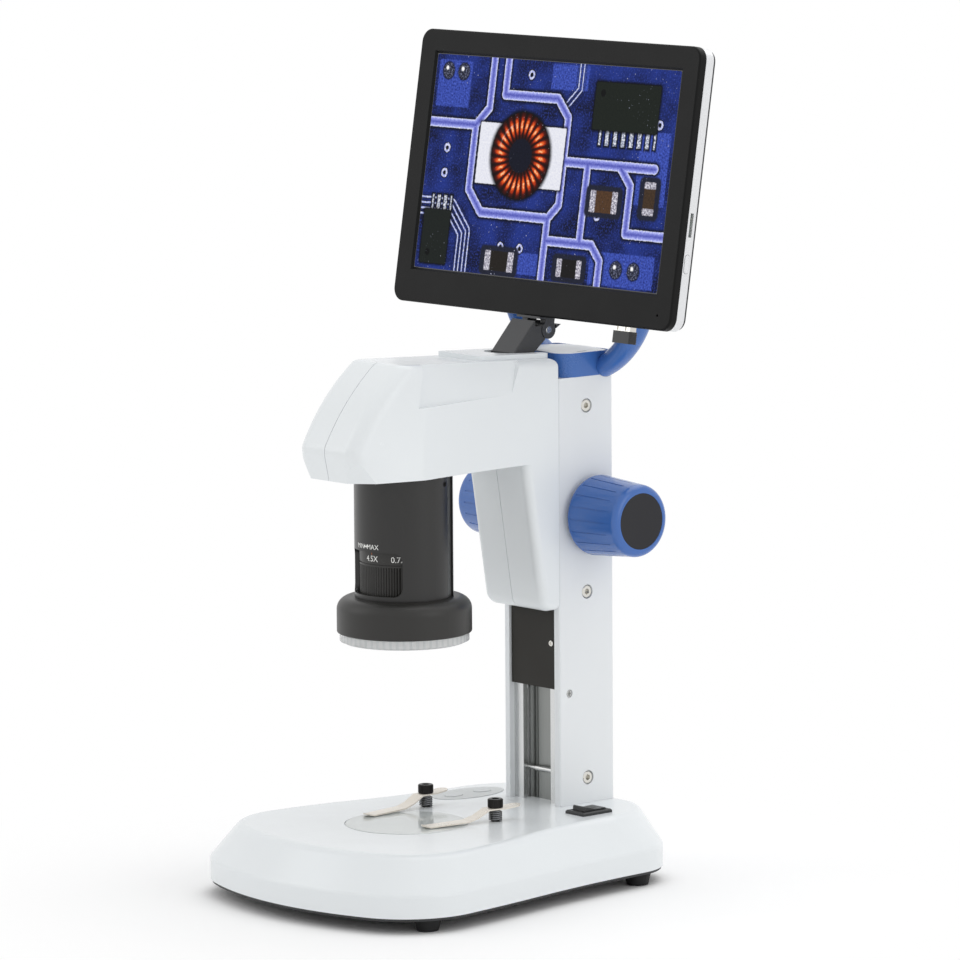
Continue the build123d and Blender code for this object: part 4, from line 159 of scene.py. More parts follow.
# ================================================================ materials
BLOTCH_SCALE = 45               # broad patches of shade on a moulding, per metre
FINE_SHARE, BLOTCH_SHARE = 0.4, 0.6
BRUSH_GRAIN, BRUSH_BAND = 4200, 260     # fine lines and broader bands, per metre
BRUSH_SQUEEZE = 0.012           # how far the lines are drawn out along their axis
LINE_SHARE, BAND_SHARE = 0.5, 0.5
BRUSH_DEEP = 0.015              # mm
METAL_GRAIN, METAL_DEEP = 1500, 0.008   # per metre, mm
METAL_TINT, METAL_SPREAD = 0.06, 0.08


def two_shades(code, tint):
    """A colour made darker and lighter by the same share."""
    base = colour(code)[:3]
    return (*[c * (1 - tint) for c in base], 1.0), (*[min(1.0, c * (1 + tint)) for c in base], 1.0)


def moulded(name, code, rough, grain, deep, tint, spread=0.06, **more):
    """Plastic, paint or coating: fine grain in the surface, and slight changes of shade and gloss."""
    g = Graph(name)
    fine = g.noise(grain, 3.0)
    broad = g.noise(BLOTCH_SCALE, 2.0)
    darker, lighter = two_shades(code, tint)
    mixed = g.math("ADD", g.math("MULTIPLY", fine, FINE_SHARE), g.math("MULTIPLY", broad, BLOTCH_SHARE))
    return g.shade(Base_Color=g.mix(mixed, darker, lighter),
                   Roughness=g.remap(mixed, 0.25, 0.75, rough - spread, rough + spread),
                   Normal=g.bump(fine, deep * MM), **more)


def brushed(name, code, rough, along="z", tint=0.12):
    """Metal with fine brush lines along one axis."""
    g = Graph(name)
    stretch = [1.0, 1.0, 1.0]
    stretch["xyz".index(along)] = BRUSH_SQUEEZE
    lines = g.noise(BRUSH_GRAIN, 3.0, stretch)
    bands = g.noise(BRUSH_BAND, 2.0, stretch)
    darker, lighter = two_shades(code, tint)
    mixed = g.math("ADD", g.math("MULTIPLY", lines, LINE_SHARE), g.math("MULTIPLY", bands, BAND_SHARE))
    return g.shade(Base_Color=g.mix(mixed, darker, lighter), Metallic=1.0,
                   Roughness=g.remap(mixed, 0.3, 0.7, rough - 0.07, rough + 0.1),
                   Normal=g.bump(lines, BRUSH_DEEP * MM))


def metal(name, code, rough):
    """Plain turned or plated metal with small stains in its gloss."""
    return moulded(name, code, rough, METAL_GRAIN, METAL_DEEP, METAL_TINT, METAL_SPREAD, Metallic=1.0)


def board(name, mask_code, track_code, gold_code):
    """Circuit board: solder mask over paler tracks, and small gold pads."""
    g = Graph(name)
    place = g.place()
    tracks = g.add("TexBrick", out="Fac", settings={"offset": 0.37}, Vector=place, Scale=110.0,
                   Mortar_Size=0.028, Mortar_Smooth=0.2, Brick_Width=0.9, Row_Height=0.31)
    spots = g.add("TexVoronoi", out="Distance", Vector=place, Scale=230.0)
    pads = g.remap(spots, 0.13, 0.17, 1.0, 0.0)
    masked = g.mix(tracks, colour(mask_code), colour(track_code))
    return g.shade(Base_Color=g.mix(pads, masked, colour(gold_code)),
                   Roughness=g.remap(g.noise(900), 0.3, 0.7, 0.3, 0.45),
                   Normal=g.bump(tracks, 0.03 * MM))


def stage_glass():
    """Opal glass insert with a faint cloudiness and a soft sheen."""
    g = Graph("stage_glass")
    cloud = g.noise(60, 4.0)
    return g.shade(Base_Color=g.mix(cloud, colour("dfe5e4"), colour("eaefee")), IOR=1.5,
                   Roughness=g.remap(cloud, 0.3, 0.7, 0.08, 0.14), Transmission_Weight=0.25,
                   Normal=g.bump(g.noise(500, 2.0), 0.004 * MM))


COVER_RIBS = 60.0       # ribs round the ring light's cover


def ribbed_clear():
    """Clear moulding round the LEDs, with upright ribs inside its wall and painted shade across each rib.
    """
    g = Graph("ribbed_clear")
    axis = (LENS_AXIS.x, LENS_AXIS.y, 0)
    part = g.add("SeparateXYZ", Vector=g.vector("SUBTRACT", g.place(), axis))
    node = part.node
    angle = g.math("ARCTAN2", node.outputs["Y"], node.outputs["X"])
    wave = g.math("SINE", g.math("MULTIPLY", angle, COVER_RIBS))
    ribs = g.remap(wave, -0.2, 0.9, 0.0, 1.0, smooth=True)
    # painted shade: the ribs' crests are coloured a little greyer than the grooves between them
    return g.shade(Base_Color=g.mix(ribs, colour("f8f9f9"), colour("eceff0")), IOR=1.46,
                   Roughness=g.remap(ribs, 0.0, 1.0, 0.12, 0.25), Transmission_Weight=0.5,
                   Normal=g.bump(ribs, 0.12 * MM))


def lens_glass():
    """Coated lens glass whose colour turns violet towards grazing view: a painted sheen of the coating's
    reflection.
    """
    g = Graph("lens_glass")
    # painted reflection: the colour goes violet where the surface turns away from the view
    painted_coating_sheen = g.add("LayerWeight", out="Facing", Blend=0.4)
    return g.shade(Base_Color=g.mix(painted_coating_sheen, colour("20253a"), colour("5a4a8c")), IOR=1.6,
                   Roughness=g.remap(g.noise(300), 0.3, 0.7, 0.02, 0.05),
                   Coat_Weight=1.0, Coat_Roughness=0.02)


DOME_SET, MASK_SET = 2.0 * MM, 1.7 * MM     # below the ring board's top: all dome, and all mask


def led_board():
    """White ring board: yellow phosphor domes below, white mask above."""
    g = Graph("led_board")
    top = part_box("ring_light_board")[1].z
    height = g.add("SeparateXYZ", out="Z", Vector=g.place())
    led = g.remap(height, top - DOME_SET, top - MASK_SET, 1.0, 0.0)
    speck = g.noise(800, 3.0)
    mask = g.mix(speck, colour("e9ebea"), colour("f6f7f6"))
    dome = g.mix(speck, colour("e8dfae"), colour("f7f2d2"))
    return g.shade(Base_Color=g.mix(led, mask, dome), Roughness=g.remap(speck, 0.3, 0.7, 0.25, 0.4))


def make_materials():
    """Every material by name. Moulded ones: roughness, grain per metre, its depth in mm, tint, spread."""
    return {
        "white_shell": moulded("white_shell", "e8ecee", 0.24, 900, 0.008, 0.012, 0.04),
        "white_paint": moulded("white_paint", "e8ebed", 0.34, 1400, 0.012, 0.012, 0.05),
        "white_lid": moulded("white_lid", "e6e9eb", 0.3, 1100, 0.01, 0.012, 0.05),
        "dark_plate": moulded("dark_plate", "2a2b2d", 0.5, 1800, 0.02, 0.08),
        "rubber": moulded("rubber", "1e1e1f", 0.62, 3200, 0.04, 0.1, 0.08,
                          Specular_IOR_Level=0.3),
        "blue_gloss": moulded("blue_gloss", "3f6cb4", 0.26, 1200, 0.01, 0.03, 0.05),
        "blue_knob": moulded("blue_knob", "3565b0", 0.22, 1200, 0.01, 0.03, 0.05, Coat_Weight=0.3,
                             Coat_Roughness=0.15),
        "black_satin": moulded("black_satin", "252422", 0.42, 2600, 0.02, 0.06, 0.06,
                               Specular_IOR_Level=0.45),
        "black_bezel": moulded("black_bezel", "0b0b0b", 0.45, 3400, 0.018, 0.06, 0.05,
                               Specular_IOR_Level=0.16),
        "black_tube": moulded("black_tube", "191817", 0.32, 2600, 0.012, 0.06, 0.05,
                              Specular_IOR_Level=0.55),
        "black_arm": moulded("black_arm", "202124", 0.48, 2600, 0.015, 0.05, 0.05,
                             Specular_IOR_Level=0.8),
        "black_matte": moulded("black_matte", "272521", 0.6, 2200, 0.03, 0.08, 0.06,
                               Specular_IOR_Level=0.3),
        "black_disc": moulded("black_disc", "26262a", 0.55, 3000, 0.02, 0.05, 0.05,
                              Specular_IOR_Level=0.3),
        "black_oxide": moulded("black_oxide", "232120", 0.42, 2400, 0.02, 0.12, 0.1, Metallic=0.6),
        "black_plastic": moulded("black_plastic", "1d1e1f", 0.33, 2600, 0.015, 0.05, 0.05),
        "silver_frame": moulded("silver_frame", "e4e5e7", 0.3, 5200, 0.012, 0.04, 0.06, Metallic=0.35),
        "pad_grey": moulded("pad_grey", "cfd2d2", 0.5, 1800, 0.02, 0.03),
        "key_grey": moulded("key_grey", "d0d3d4", 0.45, 1800, 0.02, 0.03),
        "cream_strip": moulded("cream_strip", "e6dfd4", 0.3, 1300, 0.006, 0.03, 0.06, Metallic=0.3),
        "rail": brushed("rail", "d3d4d4", 0.26),
        "channel": brushed("channel", "8f918f", 0.34, tint=0.18),
        "rack_brass": brushed("rack_brass", "b99b5a", 0.3, "x"),
        "brass": metal("brass", "b8994f", 0.28),
        "steel": metal("steel", "c2c3c2", 0.26),
        "nickel": metal("nickel", "d8d6d0", 0.16),
        "dark_steel": metal("dark_steel", "77787a", 0.34),
        "cast": moulded("cast", "a3a5a7", 0.5, 700, 0.06, 0.08, 0.08, Metallic=0.9),
        "anodised_black": moulded("anodised_black", "1b1b1c", 0.36, 2600, 0.012, 0.08, Metallic=0.4),
        "green_board": board("green_board", "14532d", "1d6e3d", "c9ab5b"),
        "white_board": board("white_board", "d8dbd8", "e6e8e5", "c9ab5b"),
        "panel_glass": moulded("panel_glass", "0b0c0f", 0.12, 700, 0.002, 0.05, 0.03),
        "led_board": led_board(),
        "stage_glass": stage_glass(),
        "ribbed_clear": ribbed_clear(),
        "lens_glass": lens_glass(),
        "ink_white": moulded("ink_white", "e9e9e6", 0.55, 5000, 0.004, 0.03),
        "ink_orange": moulded("ink_orange", "c46a35", 0.55, 5000, 0.004, 0.03),
    }


NODE_MATERIALS = {
    "white_shell": ("base_cover", "head_shell_right", "head_shell_left", "top_plate"),
    "white_paint": ("side_plate_right", "side_plate_left", "rear_cover"),
    "white_lid": ("cap_lid",),
    "dark_plate": ("bottom_plate", "display_back"),
    "rubber": ("rubber_feet",),
    "blue_gloss": ("column_cap", "carry_handle"),
    "blue_knob": ("focus_knob_right", "focus_knob_left"),
    "black_disc": ("knob_discs",),
    "black_tube": ("zoom_tube",),
    "black_arm": ("display_arm", "hinge_bracket"),
    "black_satin": ("ring_light_housing", "zoom_ring"),
    "black_bezel": ("display_bezel",),
    "black_matte": ("carriage",),
    "black_oxide": ("clip_screws", "column_bolts", "frame_screws"),
    "black_plastic": ("switch_housing", "power_rocker", "dc_jack", "dongle"),
    "silver_frame": ("display_frame", "display_key"),
    "pad_grey": ("control_pad",),
    "key_grey": ("lamp_key_front", "lamp_key_rear"),
    "cream_strip": ("stage_clip_right", "stage_clip_left"),
    "rail": ("guide_rails",),
    "channel": ("column_extrusion",),
    "rack_brass": ("gear_rack",),
    "brass": ("pinion_bushes",),
    "steel": ("base_screws", "pinion_shaft", "stop_rod", "hinge_pin", "rail_screws"),
    "nickel": ("column_screws", "dongle_plug"),
    "dark_steel": ("clip_springs",),
    "cast": ("head_frame",),
    "anodised_black": ("lens_barrel",),
    "green_board": ("camera_board", "display_board", "driver_board"),
    "white_board": ("lamp_board",),
    "panel_glass": ("lcd_panel",),
    "led_board": ("ring_light_board",),
    "stage_glass": ("stage_plate",),
    "ribbed_clear": ("ring_light_cover",),
    "lens_glass": ("objective_lens",),
}


def paint(piece, material):
    """Puts one material in all of a piece's slots."""
    if not piece.material_slots:
        piece.data.materials.append(material)
    for slot in piece.material_slots:
        slot.material = material


def paint_nodes(materials):
    """Gives every CAD node its material."""
    for name, nodes in NODE_MATERIALS.items():
        for node in nodes:
            paint(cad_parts[node], materials[name])


# ================================================================ the picture on the screen
WOBBLE = 0.45                   # how far edges stray from straight, mm
WOBBLE_SCALE = 0.55             # per mm, as the two below
FINE_SCALE, BROAD_SCALE = 0.9, 0.045
SECOND_SWAY = (40, 0, 17)       # where the upward stray is read, away from the sideways one


class Picture(Graph):
    """A magnified circuit board, painted shape over shape, in millimetres from the screen's middle."""

    def __init__(self, name):
        super().__init__(name)
        flat = self.vector("MULTIPLY", self.add("TexCoord", out="Object"), (1 / MM, 0, 1 / MM))
        shifted = self.vector("ADD", flat, SECOND_SWAY)
        sways = [self.speckle(v, WOBBLE_SCALE, 2.0) for v in (flat, shifted)]
        sways = [self.remap(sway, 0.0, 1.0, -WOBBLE, WOBBLE) for sway in sways]
        self.point = self.vector("ADD", flat, self.add("CombineXYZ", X=sways[0], Z=sways[1]))
        self.fine = self.speckle(flat, FINE_SCALE, 5.0)
        self.broad = self.speckle(flat, BROAD_SCALE, 2.0)
        self.image = None

    def speckle(self, point, scale, detail):
        return self.add("TexNoise", out="Fac", Vector=point, Scale=scale, Detail=detail)

    def box(self, x, z, width, height, corner=0.6):
        """How far the point lies outside an upright rectangle with rounded corners."""
        away = self.vector("ABSOLUTE", self.vector("SUBTRACT", self.point, (x, 0, z)))
        half = (width / 2 - corner, 1.0, height / 2 - corner)
        away = self.vector("MAXIMUM", self.vector("SUBTRACT", away, half), (0, 0, 0))
        return self.math("SUBTRACT", self.vector("LENGTH", away), corner)

    def disc(self, x, z, radius):
        """How far the point lies outside a round spot."""
        away = self.vector("LENGTH", self.vector("SUBTRACT", self.point, (x, 0, z)))
        return self.math("SUBTRACT", away, radius)

    def stretch(self, start, end, width):
        """How far the point lies outside a straight track."""
        run = (end[0] - start[0], 0.0, end[1] - start[1])
        square = run[0] ** 2 + run[2] ** 2
        from_start = self.vector("SUBTRACT", self.point, (start[0], 0, start[1]))
        share = self.vector("DOT_PRODUCT", from_start, (run[0] / square, 0, run[2] / square))
        share = self.math("MULTIPLY", share, 1.0, clamp=True)
        away = self.vector("LENGTH", self.vector("SUBTRACT", from_start, self.scaled(run, share)))
        return self.math("SUBTRACT", away, width / 2)

    def nearest(self, distances):
        """The union of several shapes."""
        first, *others = distances
        for other in others:
            first = self.math("MINIMUM", first, other)
        return first

    def track(self, points, width):
        """How far the point lies outside a track that turns at the points between."""
        return self.nearest([self.stretch(a, b, width) for a, b in zip(points, points[1:])])

    def folded(self, value, pitch):
        """How far a value lies from the middle of its step."""
        within = self.math("MODULO", value, pitch)
        return self.math("ABSOLUTE", self.math("SUBTRACT", within, pitch / 2))

    def bundle(self, points, pairs, pitch, width):
        """Parallel tracks, so many pairs of them, on both sides of a route."""
        away = self.track(points, 0.0)
        lines = self.math("SUBTRACT", self.folded(away, pitch), width / 2)
        return self.math("MAXIMUM", lines, self.math("SUBTRACT", away, pairs * pitch))

    def row(self, x, z, count, pitch, width, height):
        """So many equal upright bars beside one another."""
        part = self.add("SeparateXYZ", Vector=self.vector("SUBTRACT", self.point, (x, 0, z))).node
        along = self.math("ABSOLUTE", part.outputs["X"])
        shifted = self.math("ADD", part.outputs["X"], pitch * count)
        bars = self.math("SUBTRACT", self.folded(shifted, pitch), width / 2)
        high = self.math("SUBTRACT", self.math("ABSOLUTE", part.outputs["Z"]), height / 2)
        ends = self.math("SUBTRACT", along, pitch * count / 2)
        return self.math("MAXIMUM", self.math("MAXIMUM", bars, high), ends)

    def twins(self, x, z, apart_x, apart_z, width, height, corner=0.5):
        """Two equal rectangles, mirrored about a point."""
        away = self.vector("ABSOLUTE", self.vector("SUBTRACT", self.point, (x, 0, z)))
        half = (width / 2 - corner, 1.0, height / 2 - corner)
        away = self.vector("ABSOLUTE", self.vector("SUBTRACT", away, (apart_x, 0, apart_z)))
        away = self.vector("MAXIMUM", self.vector("SUBTRACT", away, half), (0, 0, 0))
        return self.math("SUBTRACT", self.vector("LENGTH", away), corner)

    def cover(self, distance, soft, reach=0.0):
        """1 inside a shape, 0 outside it, with an edge of the given softness."""
        return self.remap(distance, reach - soft, reach + soft, 1.0, 0.0, smooth=True)

    def lay(self, mask, shade):
        """Paints a shade over the picture where the mask is 1."""
        self.image = self.mix(mask, self.image, shade)


# X, Z, width and height of the copper under the mask
POURS = [(-84, 44, 28, 26), (70, -50, 52, 18), (86, 6, 24, 40), (-10, -52, 40, 12), (12, 52, 30, 14)]


def lay_ground(p):
    """Dark blue board with broad patches of copper under the mask."""
    p.image = p.mix(p.remap(p.broad, 0.35, 0.65), colour("0a0f2c"), colour("1c2f7c"))
    p.lay(p.remap(p.fine, 0.48, 0.7, 0.0, 0.65), colour("3448a8"))
    patches = p.nearest([p.box(*pour) for pour in POURS])
    p.lay(p.cover(patches, 0.5), p.mix(p.remap(p.fine, 0.3, 0.7), colour("16246e"), colour("4a62cc")))


# the routes of thin tracks, pairs of tracks, pitch and width
BUNDLES = [
    ([(-101, -25), (-75, -25), (-62, -38), (-62, -61)], 2, 3.1, 0.9),
    ([(21, 61), (21, 46), (10, 35)], 1, 3.0, 0.8),
]


def lay_fine_tracks(p):
    """Bundles of thin bright tracks that turn together."""
    lines = p.nearest([p.bundle(*bundle) for bundle in BUNDLES])
    p.lay(p.cover(lines, 0.9, 0.6), colour("060918"))
    p.lay(p.cover(lines, 0.3), p.mix(p.remap(p.fine, 0.35, 0.65), colour("7f90e4"), colour("e6ebff")))


WIDE_TRACK = 5.4
WIDE_ROUTES = [
    [(-101, 22), (-62, 22), (-52, 32), (-52, 61)],
    [(-62, 22), (-62, -14), (-50, -26), (6, -26)],
    [(6, -26), (14, -18), (14, 30), (4, 40), (-40, 40)],
    [(14, 6), (60, 6), (70, -4), (70, -30), (101, -30)],
    [(6, -26), (6, -61)],
    [(6, -38), (44, -38), (52, -46), (52, -61)],
    [(34, 6), (34, -38)],
    [(-40, 40), (-40, 61)],
    [(60, 6), (88, 6)],
]


def lay_wide_tracks(p):
    """The thick pale tracks between the components."""
    wide = p.nearest([p.track(route, WIDE_TRACK) for route in WIDE_ROUTES])
    p.lay(p.cover(wide, 1.2, 1.4), colour("05081c"))
    glow = p.math("ADD", wide, p.math("MULTIPLY", p.fine, 2.6))
    shades = p.ramp(p.remap(glow, -1.6, 1.9), [(0.0, "4c52ae"), (0.3, "7278cc"), (0.5, "8f96e2"),
                                               (0.7, "b9bff8"), (0.85, "e9ecff"), (1.0, "ffffff")])
    p.lay(p.cover(wide, 0.25), shades)


VIAS = [(-84, 8), (-84, -6), (24, -50), (84, -14), (88, 30), (-20, 52), (-30, -44), (-14, -44), (46, -22)]
VIA_R, VIA_RING = 2.6, 1.3


def lay_vias(p):
    """Plated holes with a bright ring."""
    rings = p.nearest([p.disc(x, z, VIA_R) for x, z in VIAS])
    p.lay(p.cover(rings, 0.3, 0.7), colour("070a1c"))
    p.lay(p.cover(rings, 0.3), p.mix(p.remap(p.fine, 0.35, 0.65), colour("7a86dc"), colour("f2f4ff")))
    p.lay(p.cover(rings, 0.3, -VIA_RING), colour("050714"))


PIN_L, PIN_SHARE = 8.4, 0.42    # a chip's pins, and their width as a share of the pitch
DOT_SET, DOT_R = 6, 2.0         # the dot in a chip's corner


def lay_chip(p, x, z, width, height, pins, shade, below=True):
    """A dark chip with a row of bright pins along one side."""
    side = -1 if below else 1
    pitch = width / (pins + 1)
    row_x = x + pitch / 2 if pins % 2 else x
    feet = p.row(row_x, z + side * (height / 2 + PIN_L / 2), pins, pitch, pitch * PIN_SHARE, PIN_L)
    p.lay(p.cover(feet, 0.8, 1.2), colour("04060f"))
    p.lay(p.cover(feet, 0.3), p.ramp(p.fine, [(0.3, "3a3f52"), (0.5, "a9b0c6"), (0.62, "ffffff")]))
    body = p.box(x, z, width, height, 1.5)
    p.lay(p.cover(body, 1.0, 1.0), colour("030409"))
    p.lay(p.cover(body, 0.3), p.mix(p.fine, colour(shade), colour("20261f")))
    dot = p.disc(x - width / 2 + DOT_SET, z - side * (height / 2 - DOT_SET), DOT_R)
    p.lay(p.cover(dot, 0.4), colour("090b0b"))


END_SHARE = 0.2                 # a silver end as a share of its component's length
SOLDER_W, SOLDER_H = 7, 5       # how much wider and higher the solder is


def lay_two_ended(p, x, z, width, height, shade, upright=False):
    """A small chip component with silver ends in dark solder."""
    solder = p.box(x, z, width + SOLDER_W, height + SOLDER_H, 3.0)
    p.lay(p.cover(solder, 0.8, 0.4), p.mix(p.fine, colour("020308"), colour("2b2f45")))
    body = p.box(x, z, width, height, 0.8)
    p.lay(p.cover(body, 0.3), p.mix(p.fine, colour(shade), colour("15130f")))
    cap = END_SHARE * (height if upright else width)
    if upright:
        ends = p.twins(x, z, 0, (height - cap) / 2, width, cap)
    else:
        ends = p.twins(x, z, (width - cap) / 2, 0, cap, height)
    p.lay(p.cover(ends, 0.3), p.ramp(p.fine, [(0.3, "4c4a52"), (0.5, "a8a5b4"), (0.66, "f4f2f8")]))


COIL_X, COIL_Z = -22.0, 7.0
COIL_R, COIL_HOLE = 24.0, 9.5
COIL_TURNS, COIL_LEAN = 26.0, 0.16      # turns of wire, and their lean in radians per mm
LAND_APART, LAND_W, LAND_H = 25, 21, 34


def lay_coil(p):
    """A wound ring core of amber wire, on two white lands."""
    lands = p.twins(COIL_X, COIL_Z, LAND_APART, 0, LAND_W, LAND_H, 0.6)
    p.lay(p.cover(lands, 1.2, 1.2), colour("04060f"))
    p.lay(p.cover(lands, 0.3), p.mix(p.fine, colour("c9cbe0"), colour("ffffff")))
    away = p.vector("SUBTRACT", p.point, (COIL_X, 0, COIL_Z))
    part = p.add("SeparateXYZ", Vector=away).node
    angle = p.math("ARCTAN2", part.outputs["Z"], part.outputs["X"])
    radius = p.vector("LENGTH", away)
    body = p.math("SUBTRACT", radius, COIL_R)
    p.lay(p.cover(body, 1.6, 1.6), colour("05060c"))
    middle_r, half = (COIL_R + COIL_HOLE) / 2, (COIL_R - COIL_HOLE) / 2
    across = p.math("ABSOLUTE", p.math("SUBTRACT", radius, middle_r))
    round_off = p.remap(across, 0.0, half, 1.0, 0.1, smooth=True)
    leaning = p.math("ADD", p.math("MULTIPLY", angle, COIL_TURNS), p.math("MULTIPLY", radius, COIL_LEAN))
    wire = p.remap(p.math("SINE", leaning), -0.9, 0.8, 0.12, 1.0)
    lit = p.math("MULTIPLY", p.math("MULTIPLY", wire, round_off), p.remap(p.fine, 0.2, 0.8, 0.7, 1.25))
    shades = p.ramp(lit, [(0.0, "080303"), (0.25, "4a1006"), (0.55, "b8350c"), (0.8, "ee6a24"),
                          (1.0, "ffc08a")])
    p.lay(p.cover(body, 0.4), shades)
    hole = p.math("SUBTRACT", radius, COIL_HOLE)
    p.lay(p.cover(hole, 0.5), p.mix(p.fine, colour("04050a"), colour("171a2e")))
    glint = p.cover(p.math("ABSOLUTE", p.math("SUBTRACT", radius, middle_r + 1.5)), 0.9)
    facing = p.remap(p.math("SINE", p.math("ADD", angle, -0.9)), 0.8, 1.0, 0.0, 0.8, smooth=True)
    p.lay(p.math("MULTIPLY", p.math("MULTIPLY", glint, facing), wire), colour("fff4ea"))


BALLS = [(-90, 51), (-77, 51), (66, -50), (80, -50)]
BALL_R, SPOT_R = 4.6, 1.1
SPOT_X, SPOT_Z = -1.2, 1.5      # the bright spot, from a ball's middle


def lay_solder_balls(p):
    """Dark shiny beads, each with a bright spot."""
    balls = p.nearest([p.disc(x, z, BALL_R) for x, z in BALLS])
    p.lay(p.cover(balls, 0.8, 0.6), colour("020307"))
    p.lay(p.cover(balls, 0.4), p.ramp(p.fine, [(0.3, "0b0d16"), (0.5, "2a2d3f"), (0.66, "777c96")]))
    spots = p.nearest([p.disc(x + SPOT_X, z + SPOT_Z, SPOT_R) for x, z in BALLS])
    p.lay(p.cover(spots, 0.5), colour("ffffff"))


GLARE_SCALE = 0.7       # small glints strewn over the board, per mm


def screen_material():
    """The lit screen: a made-up board seen through the microscope."""
    p = Picture("screen_picture")
    lay_ground(p)
    lay_fine_tracks(p)
    lay_wide_tracks(p)
    lay_vias(p)
    lay_chip(p, 60, 38, 52, 26, 7, "0f1512")
    lay_chip(p, -86, -42, 22, 30, 3, "101418", below=False)
    lay_two_ended(p, 86, -10, 9, 18, "57412e", upright=True)
    lay_two_ended(p, -30, -52, 24, 11, "2a2521")
    lay_two_ended(p, 28, -52, 20, 10, "1d1c1e")
    lay_two_ended(p, 50, -14, 22, 12, "6b4a30")
    lay_solder_balls(p)
    lay_coil(p)
    glare = p.remap(p.speckle(p.point, GLARE_SCALE, 3.0), 0.66, 0.74, 0.0, 0.7)
    near = p.remap(p.broad, 0.45, 0.6)
    p.lay(p.math("MULTIPLY", glare, near), colour("dfe4ff"))
    return p.shade(Base_Color=colour("050506"), Emission_Color=p.image, Emission_Strength=1.0,
                   Roughness=0.22, Specular_IOR_Level=0.03)


# ================================================================ pieces
def link(name, mesh, body, material, place=None):
    """A new piece that rides on a body."""
    piece = bpy.data.objects.new(name, mesh)
    bpy.context.scene.collection.objects.link(piece)
    if place is not None:
        piece.matrix_world = place
    paint(piece, material)
    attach(piece, body)
    return piece


def mesh_from(name, form):
    mesh = bpy.data.meshes.new(name)
    form.to_mesh(mesh)
    form.free()
    return mesh


def thicken(form, face, reach):
    """Draws a face out along a vector into a solid."""
    grown = bmesh.ops.extrude_face_region(form, geom=[face])["geom"]
    bmesh.ops.translate(form, vec=reach, verts=[v for v in grown if isinstance(v, bmesh.types.BMVert)])


CORNER_STEPS = 8


def slab(name, width, depth, height, corner):
    """A thin upright plate with rounded corners: its front at Y 0, its middle at the origin."""
    form = bmesh.new()
    points = []
    for i, (sx, sz) in enumerate(((1, 1), (-1, 1), (-1, -1), (1, -1))):
        for k in range(CORNER_STEPS + 1):
            a = pi / 2 * (i + k / CORNER_STEPS)
            points.append((sx * (width / 2 - corner) + corner * cos(a), 0,
                           sz * (height / 2 - corner) + corner * sin(a)))
    thicken(form, form.faces.new([form.verts.new(p) for p in points]), (0, depth, 0))
    bmesh.ops.recalc_face_normals(form, faces=form.faces)
    return mesh_from(name, form)


PICTURE_T = 0.06        # mm, as the two below
PICTURE_MARGIN = 1.0
PICTURE_CORNER = 1.2


def screen_picture():
    """The lit area, a film on the panel's glass."""
    mesh = slab("screen_picture", (SCREEN_W - PICTURE_MARGIN) * MM, PICTURE_T * MM,
                (SCREEN_H - PICTURE_MARGIN) * MM, PICTURE_CORNER * MM)
    place = DISPLAY @ Matrix.Translation(Vector((0, GLASS_Y - PICTURE_T / 2, SCREEN_MIDDLE_Z)) * MM)
    link("screen_picture", mesh, "display", screen_material(), place)


TEXT_T = 0.06 * MM
CAPITAL_SHARE = 0.72    # a capital's height as a share of the font's size


def text_mesh(name, words, height):
    """A flat text as a thin solid: X along the words, Y up, Z out, the middle of its foot at the origin."""
    curve = bpy.data.curves.new(name, "FONT")
    curve.body, curve.size, curve.extrude = words, height / CAPITAL_SHARE, TEXT_T / 2
    curve.align_x = "CENTER"
    curve.resolution_u = 4
    text = bpy.data.objects.new(name, curve)
    bpy.context.scene.collection.objects.link(text)
    bpy.context.view_layer.update()
    mesh = bpy.data.meshes.new_from_object(text.evaluated_get(bpy.context.evaluated_depsgraph_get()))
    bpy.data.objects.remove(text)
    mesh.materials.clear()
    return mesh


def wrap(mesh, radius, degrees, z):
    """Bends a flat mesh round the lens axis, its origin at that angle from the front."""
    for v in mesh.vertices:
        a = radians(degrees) + v.co.x / radius
        r = radius + v.co.z
        v.co = (LENS_AXIS.x + r * sin(a), LENS_AXIS.y - r * cos(a), z + v.co.y)
    return mesh


def flat_shape(name, outlines):
    """Thin solid from closed (X, Y) outlines, X along, Y up, Z out."""
    form = bmesh.new()
    for outline in outlines:
        face = form.faces.new([form.verts.new((x, y, -TEXT_T / 2)) for x, y in outline])
        thicken(form, face, (0, 0, TEXT_T))
    bmesh.ops.recalc_face_normals(form, faces=form.faces)
    return mesh_from(name, form)


LETTER_H, NUMBER_H = 2.7 * MM, 3.2 * MM
WORDS_Z, NUMBERS_Z = 193.5 * MM, 186.5 * MM
TEXT_RISE = TEXT_T / 4                      # the middle of a text above its surface
MIN_TURN, ARROW_TURN, MAX_TURN = -9.6, 0.2, 10.6    # degrees round the tube from its front
NUMBERS = (("4.5X", 4.0), ("0.7X", 43.0))   # on the ring, with their degrees from its front
INDEX_TURN = 4.0
INDEX_HALF_W, INDEX_H, INDEX_GAP = 0.22 * MM, 0.9 * MM, 0.5 * MM
ARROW_HALF_L, ARROW_HEAD, ARROW_WING, ARROW_BAR = 1.9 * MM, 1.3 * MM, 1.0 * MM, 0.3 * MM


def double_arrow():
    """A short arrow with a head at both ends."""
    half, head, wing, bar = ARROW_HALF_L, ARROW_HEAD, ARROW_WING, ARROW_BAR
    heads = [[(s * half, 0), (s * (half - head), wing), (s * (half - head), -wing)] for s in (1, -1)]
    shaft = [(half - head, -bar), (half - head, bar), (head - half, bar), (head - half, -bar)]
    return flat_shape("zoom_arrow", heads + [shaft])


